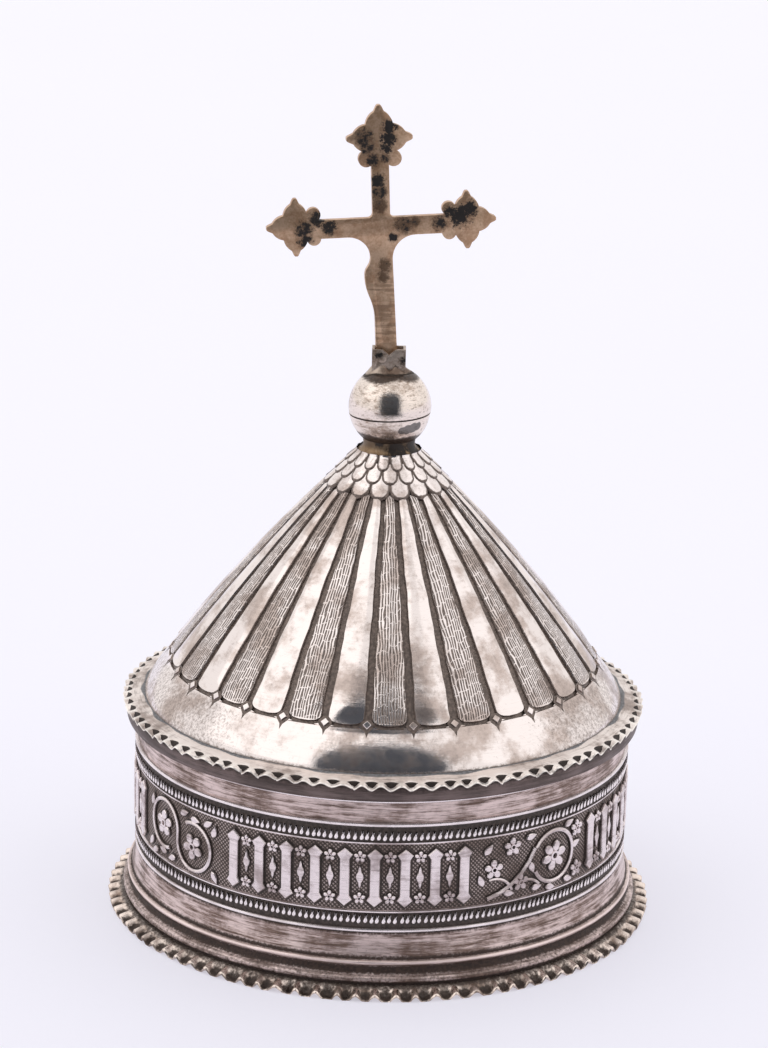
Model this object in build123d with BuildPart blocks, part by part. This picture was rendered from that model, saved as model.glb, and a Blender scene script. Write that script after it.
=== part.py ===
from build123d import *
import os
from math import asin, ceil, cos, hypot, radians, sin

# A covered round box of sheet silver: a drum on a crimped foot and a lift-off conical lid
# with gores, a ball knop and a cross. Millimetres, +Z up, origin under the foot's centre.

# Drum and base plate
drum_radius = 49.1
drum_wall = 0.9
plate_thickness = 1.8

# Crimped rims of the foot and the lid
foot_projection = 5.9
crimp_count = 88
crimp_length = 2.7
crimp_height = 1.8
dent_depth = 1.3
arch_depth = 1.15

# Foot moulding, from the plate upwards, with projections from the drum
fascia_height = 0.9
fascia_projection = 2.4
lower_bead_height = 1.3
lower_bead_projection = 2.8
cove_height = 1.7
cove_projection = 1.4
upper_bead_height = 1.2
upper_bead_projection = 2.0
bead_root_projection = 1.6
cavetto_height = 5.1
cavetto_depth = 0.35

# Border strips above and below the frieze
fillet_height = 1.0
fillet_projection = 0.55
fillet_root = 0.2
milled_height = 3.5
milled_projection = 0.5
milled_bevel = 0.4
frieze_height = 13.4

# Mouth of the drum
plain_height = 3.8
lip_height = 1.0
lip_projection = 0.5
bezel_wall = 0.8
bezel_rise = 2.3
bezel_depth = 8.0

# Lid rim
lid_clearance = 0.25
lid_ring_height = 2.7
lid_ring_projection = 2.3
lid_overhang = 0.8
flange_rise = 0.5
flange_ledge = 1.2

# Cone with its shoulder and gores
cone_inset = 1.35
cone_wall = 1.05
shoulder_height = 5.8
shoulder_run = 4.2
shoulder_swell = 0.55
cone_height = 43.5
cone_swell = 1.25
cone_spans = 4
apex_radius = 6.1
gore_count = 32
gore_turn = 7.6
channel_width = 1.5
channel_depth = 0.45
channel_start = 0.035
channel_end = 0.84

# Neck, ball and stud
neck_height = 2.6
neck_top_radius = 5.2
neck_bottom_radius = 5.9
knop_radius = 8.14
knop_band = 11.5
seam_drop = 1.3
seat_radius = 4.2
stud_radius = 1.5
stud_head_radius = 2.5
stud_head_height = 1.1
washer_radius = 4.4
washer_thickness = 0.8

# Socket and pin
socket_width = 6.6
socket_depth = 3.8
socket_height = 4.9
socket_shift = 0.45
socket_wall = 0.5
socket_floor = 0.9
notch_width = 2.6
notch_depth = 1.1
pin_radius = 0.55
pin_height = 3.1
pin_offset = 1.75
pin_head_radius = 0.85
pin_head_height = 0.3

# Cross, in its own plane, measured from the crossing
cross_thickness = 1.6
cross_lean = 2.7
cross_turn = 7.0
cross_offset = 1.4
tang_gap = 0.3
stem_length = 25.1
top_reach = 22.7
arm_reach = 22.3
fleur_axis = -0.4
arm_drop = 0.6
arm_width = 3.6
top_stem_width = 3.4
crotch_radius = 0.9
petal_length = 6.4
petal_width = 5.4
petal_straight = 2.4
petal_swell = 0.4
nib_root = 1.0
nib_length = 1.3
nib_half = 0.55
nib_tip = 0.3
nib_cap = 0.3
lobe_radius = 1.55
lobe_spread = 2.65
lobe_drop = 4.0
arm_fleur_scale = 0.88
waist_left = 2.3
waist_right = 2.0
hip_left = 3.5
hip_drop = 10.6
shin_left = 1.7
shin_drop = 19.5
tang_left = 1.65
tang_right = 2.4
armpit_reach = 6.6

# Heights of the stack, from the table upwards
plate_top = plate_thickness
fascia_top = plate_top + fascia_height
lower_bead_top = fascia_top + lower_bead_height
cove_top = lower_bead_top + cove_height
upper_bead_top = cove_top + upper_bead_height
moulding_top = upper_bead_top + cavetto_height
border_height = fillet_height + milled_height
frieze_bottom = moulding_top + border_height
frieze_top = frieze_bottom + frieze_height
upper_border_top = frieze_top + border_height
lip_bottom = upper_border_top + plain_height
mouth = lip_bottom + lip_height
lid_ring_top = mouth + lid_ring_height
flange_rim_top = lid_ring_top + crimp_height
flange_top = flange_rim_top + flange_rise
shoulder_top = flange_top + shoulder_height
apex = shoulder_top + cone_height
neck_top = apex + neck_height
knop_centre = neck_top + (knop_radius**2 - neck_top_radius**2) ** 0.5
knop_seam = knop_centre - seam_drop
knop_seat = knop_centre + (knop_radius**2 - seat_radius**2) ** 0.5
socket_inside = knop_seat + socket_floor
socket_mouth = knop_seat + socket_height
pin_centre = knop_seat + pin_height
crossing = socket_mouth + stem_length * cos(radians(cross_lean))

# Radii that pieces share
foot_radius = drum_radius + foot_projection
fascia_radius = drum_radius + fascia_projection
bezel_radius = drum_radius - drum_wall
lid_ring_radius = drum_radius + lid_ring_projection
lid_ring_bore = bezel_radius + lid_clearance
lid_radius = lid_ring_radius + lid_overhang
half_crimp = 180 / crimp_count
cone_radius = drum_radius - cone_inset
ledge_radius = cone_radius - flange_ledge
shoulder_radius = cone_radius - shoulder_run

os.makedirs("parts", exist_ok=True)


def crimp_bar(rim_radius, depth):
    """Square bar along a radius: its edge sinks to the depth at the rim, or rises if negative."""
    with BuildPart() as bar:
        with BuildSketch(Plane.YZ.offset(rim_radius - crimp_length)):
            with Locations((0, 2 * depth)):
                RegularPolygon(abs(2 * depth), 4)
        extrude(amount=2 * hypot(crimp_length, depth), dir=(crimp_length, 0, -depth))
    return bar.part


# Base plate: a disc with a flat to each crimp, a dent in the flat and an arch at the corner
foot_dent = crimp_bar(foot_radius, dent_depth)
foot_arch = crimp_bar(foot_radius, -arch_depth)
with BuildPart() as base_plate:
    with BuildSketch():
        RegularPolygon(foot_radius, crimp_count)
    extrude(amount=plate_thickness)
    with Locations((0, 0, plate_thickness)):
        with PolarLocations(0, crimp_count, start_angle=half_crimp):
            add(foot_dent, mode=Mode.SUBTRACT)
    with PolarLocations(0, crimp_count):
        add(foot_arch, mode=Mode.SUBTRACT)

# Foot moulding: fascia, bead, cove, bead and cavetto round the drum's base
with BuildPart() as foot_moulding:
    with BuildSketch(Plane.XZ):
        with BuildLine():
            cavetto_waist = drum_radius + bead_root_projection / 2 - cavetto_depth
            Polyline(
                (drum_radius, plate_top),
                (fascia_radius, plate_top),
                (fascia_radius, fascia_top),
                (drum_radius + lower_bead_projection, (fascia_top + lower_bead_top) / 2),
                (drum_radius + cove_projection, (lower_bead_top + cove_top) / 2),
                (drum_radius + upper_bead_projection, (cove_top + upper_bead_top) / 2),
                (drum_radius + bead_root_projection, upper_bead_top),
                (cavetto_waist, (upper_bead_top + moulding_top) / 2),
                (drum_radius, moulding_top),
                close=True,
            )
        make_face()
    revolve(axis=Axis.Z)

# Drum wall
with BuildPart() as drum_wall_part:
    with BuildSketch(Plane.XY.offset(plate_top)):
        Circle(drum_radius)
        Circle(drum_radius - drum_wall, mode=Mode.SUBTRACT)
    extrude(amount=mouth - plate_top)

# Border strips: a raised fillet on the plain side and a bevelled milled band on the other
with BuildSketch() as border_section:
    with BuildLine():
        milled_edge = drum_radius + milled_projection
        Polyline(
            (drum_radius, 0),
            (drum_radius + fillet_projection, fillet_height / 2),
            (drum_radius + fillet_root, fillet_height),
            (milled_edge, border_height - milled_bevel),
            (drum_radius, border_height),
            close=True,
        )
    make_face()

with BuildPart() as lower_border:
    with BuildSketch(Plane.XZ):
        with Locations((0, moulding_top)):
            add(border_section.sketch)
    revolve(axis=Axis.Z)

with BuildPart() as upper_border:
    with BuildSketch(Plane.XZ):
        with Locations((0, upper_border_top)):
            add(mirror(border_section.sketch, about=Plane.XZ, mode=Mode.PRIVATE))
    revolve(axis=Axis.Z)

# Lip wire round the mouth
with BuildPart() as lip_wire:
    with BuildSketch(Plane.XZ):
        with BuildLine():
            Polyline(
                (drum_radius, lip_bottom),
                (drum_radius + lip_projection, mouth),
                (drum_radius, mouth),
                close=True,
            )
        make_face()
    revolve(axis=Axis.Z)

# Bezel: the collar inside the mouth that guides the lid
with BuildPart() as bezel:
    with BuildSketch(Plane.XY.offset(mouth - bezel_depth)):
        Circle(bezel_radius)
        Circle(bezel_radius - bezel_wall, mode=Mode.SUBTRACT)
    extrude(amount=bezel_depth + bezel_rise)

# Lid ring: the plain ring that sits on the mouth
with BuildPart() as lid_ring:
    with BuildSketch(Plane.XY.offset(mouth)):
        Circle(lid_ring_radius)
        Circle(lid_ring_bore, mode=Mode.SUBTRACT)
    extrude(amount=lid_ring_height)

# Lid flange: a dished sheet ring with the same crimped edge
lid_dent = crimp_bar(lid_radius, dent_depth)
lid_arch = crimp_bar(lid_radius, -arch_depth)
with BuildPart() as lid_flange:
    with BuildSketch(Plane.XY.offset(lid_ring_top)):
        RegularPolygon(lid_radius, crimp_count)
        Circle(ledge_radius, mode=Mode.SUBTRACT)
    extrude(amount=crimp_height)
    with BuildSketch(Plane.XZ):
        with BuildLine():
            Polyline(
                (ledge_radius, flange_rim_top),
                (lid_radius - crimp_length, flange_rim_top),
                (cone_radius, flange_top),
                (ledge_radius, flange_top),
                close=True,
            )
        make_face()
    revolve(axis=Axis.Z)
    with Locations((0, 0, flange_rim_top)):
        with PolarLocations(0, crimp_count, start_angle=half_crimp):
            add(lid_dent, mode=Mode.SUBTRACT)
    with Locations((0, 0, lid_ring_top)):
        with PolarLocations(0, crimp_count):
            add(lid_arch, mode=Mode.SUBTRACT)

# Outline of the cone from the shoulder to the tip, with radius along X and height along Y
with BuildLine() as meridian:
    SagittaArc((shoulder_radius, shoulder_top), (apex_radius, apex), -cone_swell)


def beside_meridian(share, distance):
    """Point off the cone's outline, at a share of its length, outwards if positive."""
    tangent = meridian.line % share
    return meridian.line @ share + Vector(tangent.Y, -tangent.X) * distance


# Slabs that follow the outline: one planes a gore flat, one cuts the channel beside it
def outline_slab(shares, depth, width):
    """Slab across the front of the cone, from a depth under its outline to well outside."""
    with BuildPart() as slab:
        with BuildSketch(Plane.XZ):
            with BuildLine():
                floor_points = [beside_meridian(share, -depth) for share in shares]
                roof_points = [point + Vector(2 * cone_wall, 0) for point in reversed(floor_points)]
                Polyline(*floor_points, *roof_points, close=True)
            make_face()
        extrude(amount=width / 2, both=True)
    return slab.part


half_gore = radians(180 / gore_count)
span_shares = [span / cone_spans for span in range(cone_spans + 1)]
channel_shares = [channel_start, *span_shares[1:-1], channel_end]
gore_plane = outline_slab(span_shares, 0, 2 * cone_radius * sin(half_gore))
channel = outline_slab(channel_shares, channel_depth, channel_width)

# Lid cone: a raised shell with a swelling shoulder and flat gores, parted by channels
with BuildPart() as lid_cone:
    with BuildSketch(Plane.XZ):
        with BuildLine():
            gore_corners = [beside_meridian(share, 0) for share in span_shares]
            bulge_radius = cone_radius - shoulder_run / 2 + shoulder_swell
            bulge_height = flange_top + shoulder_height / 2 + shoulder_swell
            Polyline(
                (0, flange_top),
                (cone_radius, flange_top),
                (bulge_radius, bulge_height),
                *[(corner.X / cos(half_gore), corner.Y) for corner in gore_corners],
                (0, apex),
                close=True,
            )
        make_face()
    revolve(axis=Axis.Z)
    offset(
        amount=-cone_wall,
        openings=lid_cone.faces().sort_by(Axis.Z)[0],
        kind=Kind.INTERSECTION,
    )
    with Locations((0, 0, apex)):
        Cylinder(stud_radius, 2 * cone_wall, mode=Mode.SUBTRACT)
    with PolarLocations(0, gore_count, start_angle=gore_turn + 180 / gore_count):
        add(gore_plane, mode=Mode.SUBTRACT)
    with PolarLocations(0, gore_count, start_angle=gore_turn):
        add(channel, mode=Mode.SUBTRACT)

# Neck ring between the tip of the cone and the ball
with BuildPart() as neck_ring:
    with BuildSketch(Plane.XZ):
        with BuildLine():
            Polyline(
                (stud_radius, apex),
                (neck_bottom_radius, apex),
                (neck_top_radius, neck_top),
                (stud_radius, neck_top),
                close=True,
            )
        make_face()
    revolve(axis=Axis.Z)


def knop_outline(bottom, top):
    """Points of the ball's outline between two heights, in even bands."""
    first, last = (asin((height - knop_centre) / knop_radius) for height in (bottom, top))
    bands = ceil((last - first) / radians(knop_band))
    turns = [first + (last - first) * band / bands for band in range(bands + 1)]
    return [(knop_radius * cos(turn), knop_centre + knop_radius * sin(turn)) for turn in turns]


# Ball, in two raised halves that meet at a seam just below its middle
with BuildPart() as knop_lower:
    with BuildSketch(Plane.XZ):
        with BuildLine():
            Polyline(
                (stud_radius, neck_top),
                *knop_outline(neck_top, knop_seam),
                (stud_radius, knop_seam),
                close=True,
            )
        make_face()
    revolve(axis=Axis.Z)

with BuildPart() as knop_upper:
    with BuildSketch(Plane.XZ):
        with BuildLine():
            Polyline(
                (stud_radius, knop_seam),
                *knop_outline(knop_seam, knop_seat),
                (stud_radius, knop_seat),
                close=True,
            )
        make_face()
    revolve(axis=Axis.Z)

# Washer inside the tip and the stud that is peened over it
washer_top = apex - cone_wall
washer_bottom = washer_top - washer_thickness
with BuildPart() as apex_washer:
    with BuildSketch(Plane.XY.offset(washer_bottom)):
        Circle(washer_radius)
        Circle(stud_radius, mode=Mode.SUBTRACT)
    extrude(amount=washer_thickness)

with BuildPart() as finial_stud:
    with BuildSketch(Plane.XY.offset(washer_bottom)):
        Circle(stud_head_radius)
    extrude(amount=-stud_head_height)
    with BuildSketch(Plane.XY.offset(washer_bottom)):
        Circle(stud_radius)
    extrude(amount=socket_inside - washer_bottom)

# Socket: a folded sleeve with a notch in its front and back, on the flat of the ball
with BuildPart() as cross_socket:
    with BuildSketch(Plane.XY.offset(knop_seat)):
        with Locations((-socket_shift, 0)):
            Rectangle(socket_width, socket_depth)
    extrude(amount=socket_height)
    with BuildSketch(Plane.XY.offset(socket_inside)):
        with Locations((-socket_shift, 0)):
            Rectangle(socket_width - 2 * socket_wall, socket_depth - 2 * socket_wall)
    extrude(amount=socket_height, mode=Mode.SUBTRACT)
    with BuildSketch(Plane.XZ):
        with Locations((-socket_shift, socket_mouth)):
            Polygon(
                (-notch_width / 2, 0), (0, -notch_depth), (notch_width / 2, 0), align=None
            )
    extrude(amount=socket_depth, both=True, mode=Mode.SUBTRACT)
    with Locations((0, 0, knop_seat)):
        Cylinder(stud_radius, 2 * socket_floor, mode=Mode.SUBTRACT)
    with Locations((-pin_offset, 0, pin_centre)):
        Cylinder(pin_radius, 2 * socket_depth, rotation=(90, 0, 0), mode=Mode.SUBTRACT)

# One fleur of the cross, at the top's size: three pointed petals and two round lobes
with BuildSketch() as petal:
    with BuildLine():
        half_petal = petal_width / 2
        Polyline((0, 0), (half_petal, 0), (half_petal, petal_straight))
        shoulder = SagittaArc(
            (half_petal, petal_straight), (nib_root, petal_length - nib_length), -petal_swell
        )
        Polyline(
            shoulder @ 1,
            (nib_half, petal_length - nib_cap),
            (nib_tip, petal_length),
            (0, petal_length),
        )
        mirror(about=Plane.YZ)
    make_face()

with BuildSketch() as fleur:
    for petal_turn in (-90, 0, 90):
        add(petal.sketch, rotation=petal_turn)
    with Locations((-lobe_spread, -lobe_drop), (lobe_spread, -lobe_drop)):
        Circle(lobe_radius)
    with Locations((0, -lobe_drop / 2)):
        Rectangle(2 * lobe_spread, lobe_drop)

def halfway(start, end):
    """Point in the middle of two points of a sketch."""
    return ((start[0] + end[0]) / 2, (start[1] + end[1]) / 2)


# Cross: it leans to the left and is turned a little in its socket
lean = radians(cross_lean)
turn = radians(cross_turn)
cross_plane = Plane(
    origin=(-cross_offset - stem_length * sin(lean), 0, crossing),
    x_dir=(cos(lean) * cos(turn), cos(lean) * sin(turn), sin(lean)),
    z_dir=(sin(turn), -cos(turn), 0),
)
with BuildPart() as cross:
    with BuildSketch(cross_plane):
        arm_top = fleur_axis - arm_drop + arm_width / 2
        arm_bottom = arm_top - arm_width
        arm_end = arm_reach - petal_length * arm_fleur_scale
        tang_end = -stem_length - (socket_mouth - socket_inside) + tang_gap
        with BuildLine():
            waist = (-waist_left, arm_bottom - armpit_reach + waist_left)
            armpit = TangentArc((-armpit_reach, arm_bottom), waist, tangent=(1, 0))
            hip = (-hip_left, -hip_drop)
            shin = (-shin_left, -shin_drop)
            into_hip = TangentArc(waist, halfway(waist, hip), tangent=(0, -1))
            onto_hip = TangentArc(into_hip @ 1, hip, tangent=into_hip % 1)
            off_hip = TangentArc(hip, halfway(hip, shin), tangent=(0, -1))
            onto_shin = TangentArc(off_hip @ 1, shin, tangent=off_hip % 1)
            left_foot = Line(shin, (-tang_left, -stem_length))
            right_waist = (waist_right, arm_bottom - armpit_reach + waist_right)
            right_armpit = TangentArc((armpit_reach, arm_bottom), right_waist, tangent=(-1, 0))
            right_foot = Line(right_waist, (tang_right, -stem_length))
            Polyline(
                armpit @ 0,
                (-arm_end, arm_bottom),
                (-arm_end, arm_top),
                (arm_end, arm_top),
                (arm_end, arm_bottom),
                right_armpit @ 0,
            )
            Polyline(
                left_foot @ 1,
                (-tang_left, tang_end),
                (tang_right, tang_end),
                right_foot @ 1,
            )
        make_face()
        with Locations((0, (top_reach - petal_length) / 2)):
            Rectangle(top_stem_width, top_reach - petal_length)
        crotches = vertices().filter_by_position(
            Axis.X, -top_stem_width / 2, top_stem_width / 2
        ).filter_by_position(Axis.Y, fleur_axis, arm_top)
        fillet(crotches, crotch_radius)
        with Locations((0, top_reach - petal_length)):
            add(fleur.sketch)
        arm_fleur = scale(fleur.sketch, by=arm_fleur_scale, mode=Mode.PRIVATE)
        with Locations((-arm_end, fleur_axis)):
            add(arm_fleur, rotation=90)
        with Locations((arm_end, fleur_axis)):
            add(arm_fleur, rotation=-90)
    extrude(amount=cross_thickness / 2, both=True)
    with Locations((-pin_offset, 0, pin_centre)):
        Cylinder(pin_radius, 2 * socket_depth, rotation=(90, 0, 0), mode=Mode.SUBTRACT)

# Pin through the socket and the tang, with a peened head at the front
with BuildPart() as cross_pin:
    with BuildSketch(Plane.XZ.offset(-socket_depth / 2)):
        with Locations((-pin_offset, pin_centre)):
            Circle(pin_radius)
    extrude(amount=socket_depth)
    with BuildSketch(Plane.XZ.offset(socket_depth / 2)):
        with Locations((-pin_offset, pin_centre)):
            Circle(pin_head_radius)
    extrude(amount=pin_head_height)

pieces = {
    "base_plate": base_plate,
    "foot_moulding": foot_moulding,
    "drum_wall": drum_wall_part,
    "lower_border": lower_border,
    "upper_border": upper_border,
    "lip_wire": lip_wire,
    "bezel": bezel,
    "lid_ring": lid_ring,
    "lid_flange": lid_flange,
    "lid_cone": lid_cone,
    "neck_ring": neck_ring,
    "knop_lower": knop_lower,
    "knop_upper": knop_upper,
    "apex_washer": apex_washer,
    "finial_stud": finial_stud,
    "cross_socket": cross_socket,
    "cross": cross,
    "cross_pin": cross_pin,
}
for name, piece in pieces.items():
    piece.part.label = name
    export_step(piece.part, f"parts/{name}.step")
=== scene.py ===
"""Looks of a round silver host box with a gored conical lid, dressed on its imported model."""
import logging
import math
from dataclasses import dataclass
from enum import Enum
from typing import Any, Callable, Sequence

import bpy
import numpy as np
from mathutils import Matrix, Vector


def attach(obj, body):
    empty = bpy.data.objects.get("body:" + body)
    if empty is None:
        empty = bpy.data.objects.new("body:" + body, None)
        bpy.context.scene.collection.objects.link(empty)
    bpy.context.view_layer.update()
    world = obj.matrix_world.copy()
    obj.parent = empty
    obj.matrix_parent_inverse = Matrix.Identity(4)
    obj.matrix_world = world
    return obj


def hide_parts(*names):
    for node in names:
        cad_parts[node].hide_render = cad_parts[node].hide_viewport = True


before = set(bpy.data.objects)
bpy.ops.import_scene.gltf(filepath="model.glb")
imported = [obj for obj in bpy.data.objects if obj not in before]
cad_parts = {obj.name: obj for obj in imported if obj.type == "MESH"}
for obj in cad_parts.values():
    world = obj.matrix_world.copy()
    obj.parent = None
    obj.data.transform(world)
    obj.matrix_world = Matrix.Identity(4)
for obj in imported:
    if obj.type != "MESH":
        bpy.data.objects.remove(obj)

LOG = logging.getLogger("pyx")
MM = 0.001
TURN = 2.0 * math.pi
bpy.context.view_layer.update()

Colour = tuple[float, float, float]
Point = tuple[float, float]
PATCH_GREY: Colour = (0.1, 0.095, 0.095)


def tint(colour: Colour, share: float) -> Colour:
    """A colour made darker or lighter."""
    return tuple(share * part for part in colour)


class Body(Enum):
    """The two bodies that pieces ride on."""

    BOX = "box"
    LID = "lid"


class Metal(Enum):
    """The two metals."""

    SILVER = "silver"
    GILT = "gilt"


class Wire:
    """A socket of a material that takes part in sums."""

    def __init__(self, recipe: "Recipe", socket: bpy.types.NodeSocket) -> None:
        """Keeps the socket and the recipe that it belongs to."""
        self.recipe = recipe
        self.socket = socket

    def __add__(self, other: Any) -> "Wire":
        """Sum."""
        return self.recipe.math("ADD", self, other)

    __radd__ = __add__

    def __sub__(self, other: Any) -> "Wire":
        """Difference."""
        return self.recipe.math("SUBTRACT", self, other)

    def __rsub__(self, other: Any) -> "Wire":
        """Difference from a number."""
        return self.recipe.math("SUBTRACT", other, self)

    def __mul__(self, other: Any) -> "Wire":
        """Product."""
        return self.recipe.math("MULTIPLY", self, other)

    __rmul__ = __mul__

    def __truediv__(self, other: Any) -> "Wire":
        """Quotient."""
        return self.recipe.math("DIVIDE", self, other)


class Recipe:
    """A material's node tree, written as sums of wires."""

    def __init__(self, name: str) -> None:
        """Starts an empty material.

        Args:
            name: The material's name.
        """
        self.material = bpy.data.materials.new(name)
        self.material.use_nodes = True
        self.tree = self.material.node_tree
        self.tree.nodes.clear()

    def node(self, kind: str, inputs: dict | Sequence = (), output: int | str = 0, **settings: Any) -> Wire:
        """Adds any node.

        Args:
            kind: The node's type.
            inputs: Values or wires, by socket name or in order.
            output: The socket to hand back.
            **settings: The node's own settings.

        Returns:
            The output as a wire.
        """
        made = self.tree.nodes.new(kind)
        for key, value in settings.items():
            setattr(made, key, value)
        pairs = inputs.items() if isinstance(inputs, dict) else enumerate(inputs)
        for key, value in pairs:
            if isinstance(value, Wire):
                self.tree.links.new(value.socket, made.inputs[key])
            else:
                made.inputs[key].default_value = value
        return Wire(self, made.outputs[output])

    def math(self, operation: str, *values: Any) -> Wire:
        """One step of arithmetic on numbers."""
        return self.node("ShaderNodeMath", values, operation=operation)

    def mix(self, share: Any, first: Any, second: Any) -> Wire:
        """Colour between two others.

        Args:
            share: How much of the second, from 0 to 1.
            first: Colour or wire.
            second: Colour or wire.

        Returns:
            The mixed colour.
        """
        sockets = {0: share}
        for key, colour in ((6, first), (7, second)):
            sockets[key] = colour if isinstance(colour, Wire) else (*colour, 1.0)
        return self.node("ShaderNodeMix", sockets, 2, data_type="RGBA", clamp_factor=True)

    def step(self, value: Any, low: float, high: float) -> Wire:
        """Smooth rise from 0 to 1 between two values."""
        inputs = {"Value": value, "From Min": low, "From Max": high}
        return self.node("ShaderNodeMapRange", inputs, interpolation_type="SMOOTHSTEP")

    def noise(self, vector: Wire, scale: float, detail: float = 3.0, rough: float = 0.55) -> Wire:
        """Cloudy noise around one half, with its scale per millimetre."""
        inputs = {"Vector": vector, "Scale": scale, "Detail": detail, "Roughness": rough}
        return self.node("ShaderNodeTexNoise", inputs, "Fac")

    def attribute(self, name: str) -> Wire:
        """A value that the mesh carries."""
        return self.node("ShaderNodeAttribute", (), "Fac", attribute_name=name)

    def vector(self, x: Any, y: Any, z: Any) -> Wire:
        """Vector of three numbers."""
        return self.node("ShaderNodeCombineXYZ", (x, y, z))

    def place(self) -> Wire:
        """Object coordinates in millimetres."""
        raw = self.node("ShaderNodeTexCoord", (), "Object")
        return self.node("ShaderNodeVectorMath", (raw, (1 / MM,) * 3), operation="MULTIPLY")

    def parts(self, vector: Wire) -> tuple[Wire, Wire, Wire]:
        """The three numbers of a vector."""
        first = self.node("ShaderNodeSeparateXYZ", (vector,))
        outputs = first.socket.node.outputs
        return first, Wire(self, outputs[1]), Wire(self, outputs[2])

    def near(self, vector: Wire, point: Sequence[float], inner: float, outer: float) -> Wire:
        """One close to a point, falling to nothing at the outer distance."""
        gap = self.node("ShaderNodeVectorMath", (vector, tuple(point)), "Value", operation="DISTANCE")
        return 1.0 - self.step(gap, inner, outer)

    def surface(
        self,
        colour: Wire,
        roughness: Wire,
        metallic: Any,
        height: Wire,
        relief: float,
        glow: Colour | None = None,
    ) -> bpy.types.Material:
        """Closes the recipe with its surface.

        Args:
            colour: Base colour.
            roughness: Roughness.
            metallic: Share of bare metal.
            height: Bump height in millimetres.
            relief: Strength of the bump.
            glow: Light of its own, if any.

        Returns:
            The finished material.
        """
        bump = self.node("ShaderNodeBump", {"Strength": relief, "Distance": MM, "Height": height})
        sockets = {"Base Color": colour, "Roughness": roughness, "Metallic": metallic, "Normal": bump}
        if glow:
            sockets |= {"Emission Color": (*glow, 1.0), "Emission Strength": 1.0}
        shader = self.node("ShaderNodeBsdfPrincipled", sockets)
        out = self.tree.nodes.new("ShaderNodeOutputMaterial")
        self.tree.links.new(shader.socket, out.inputs["Surface"])
        return self.material


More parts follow.
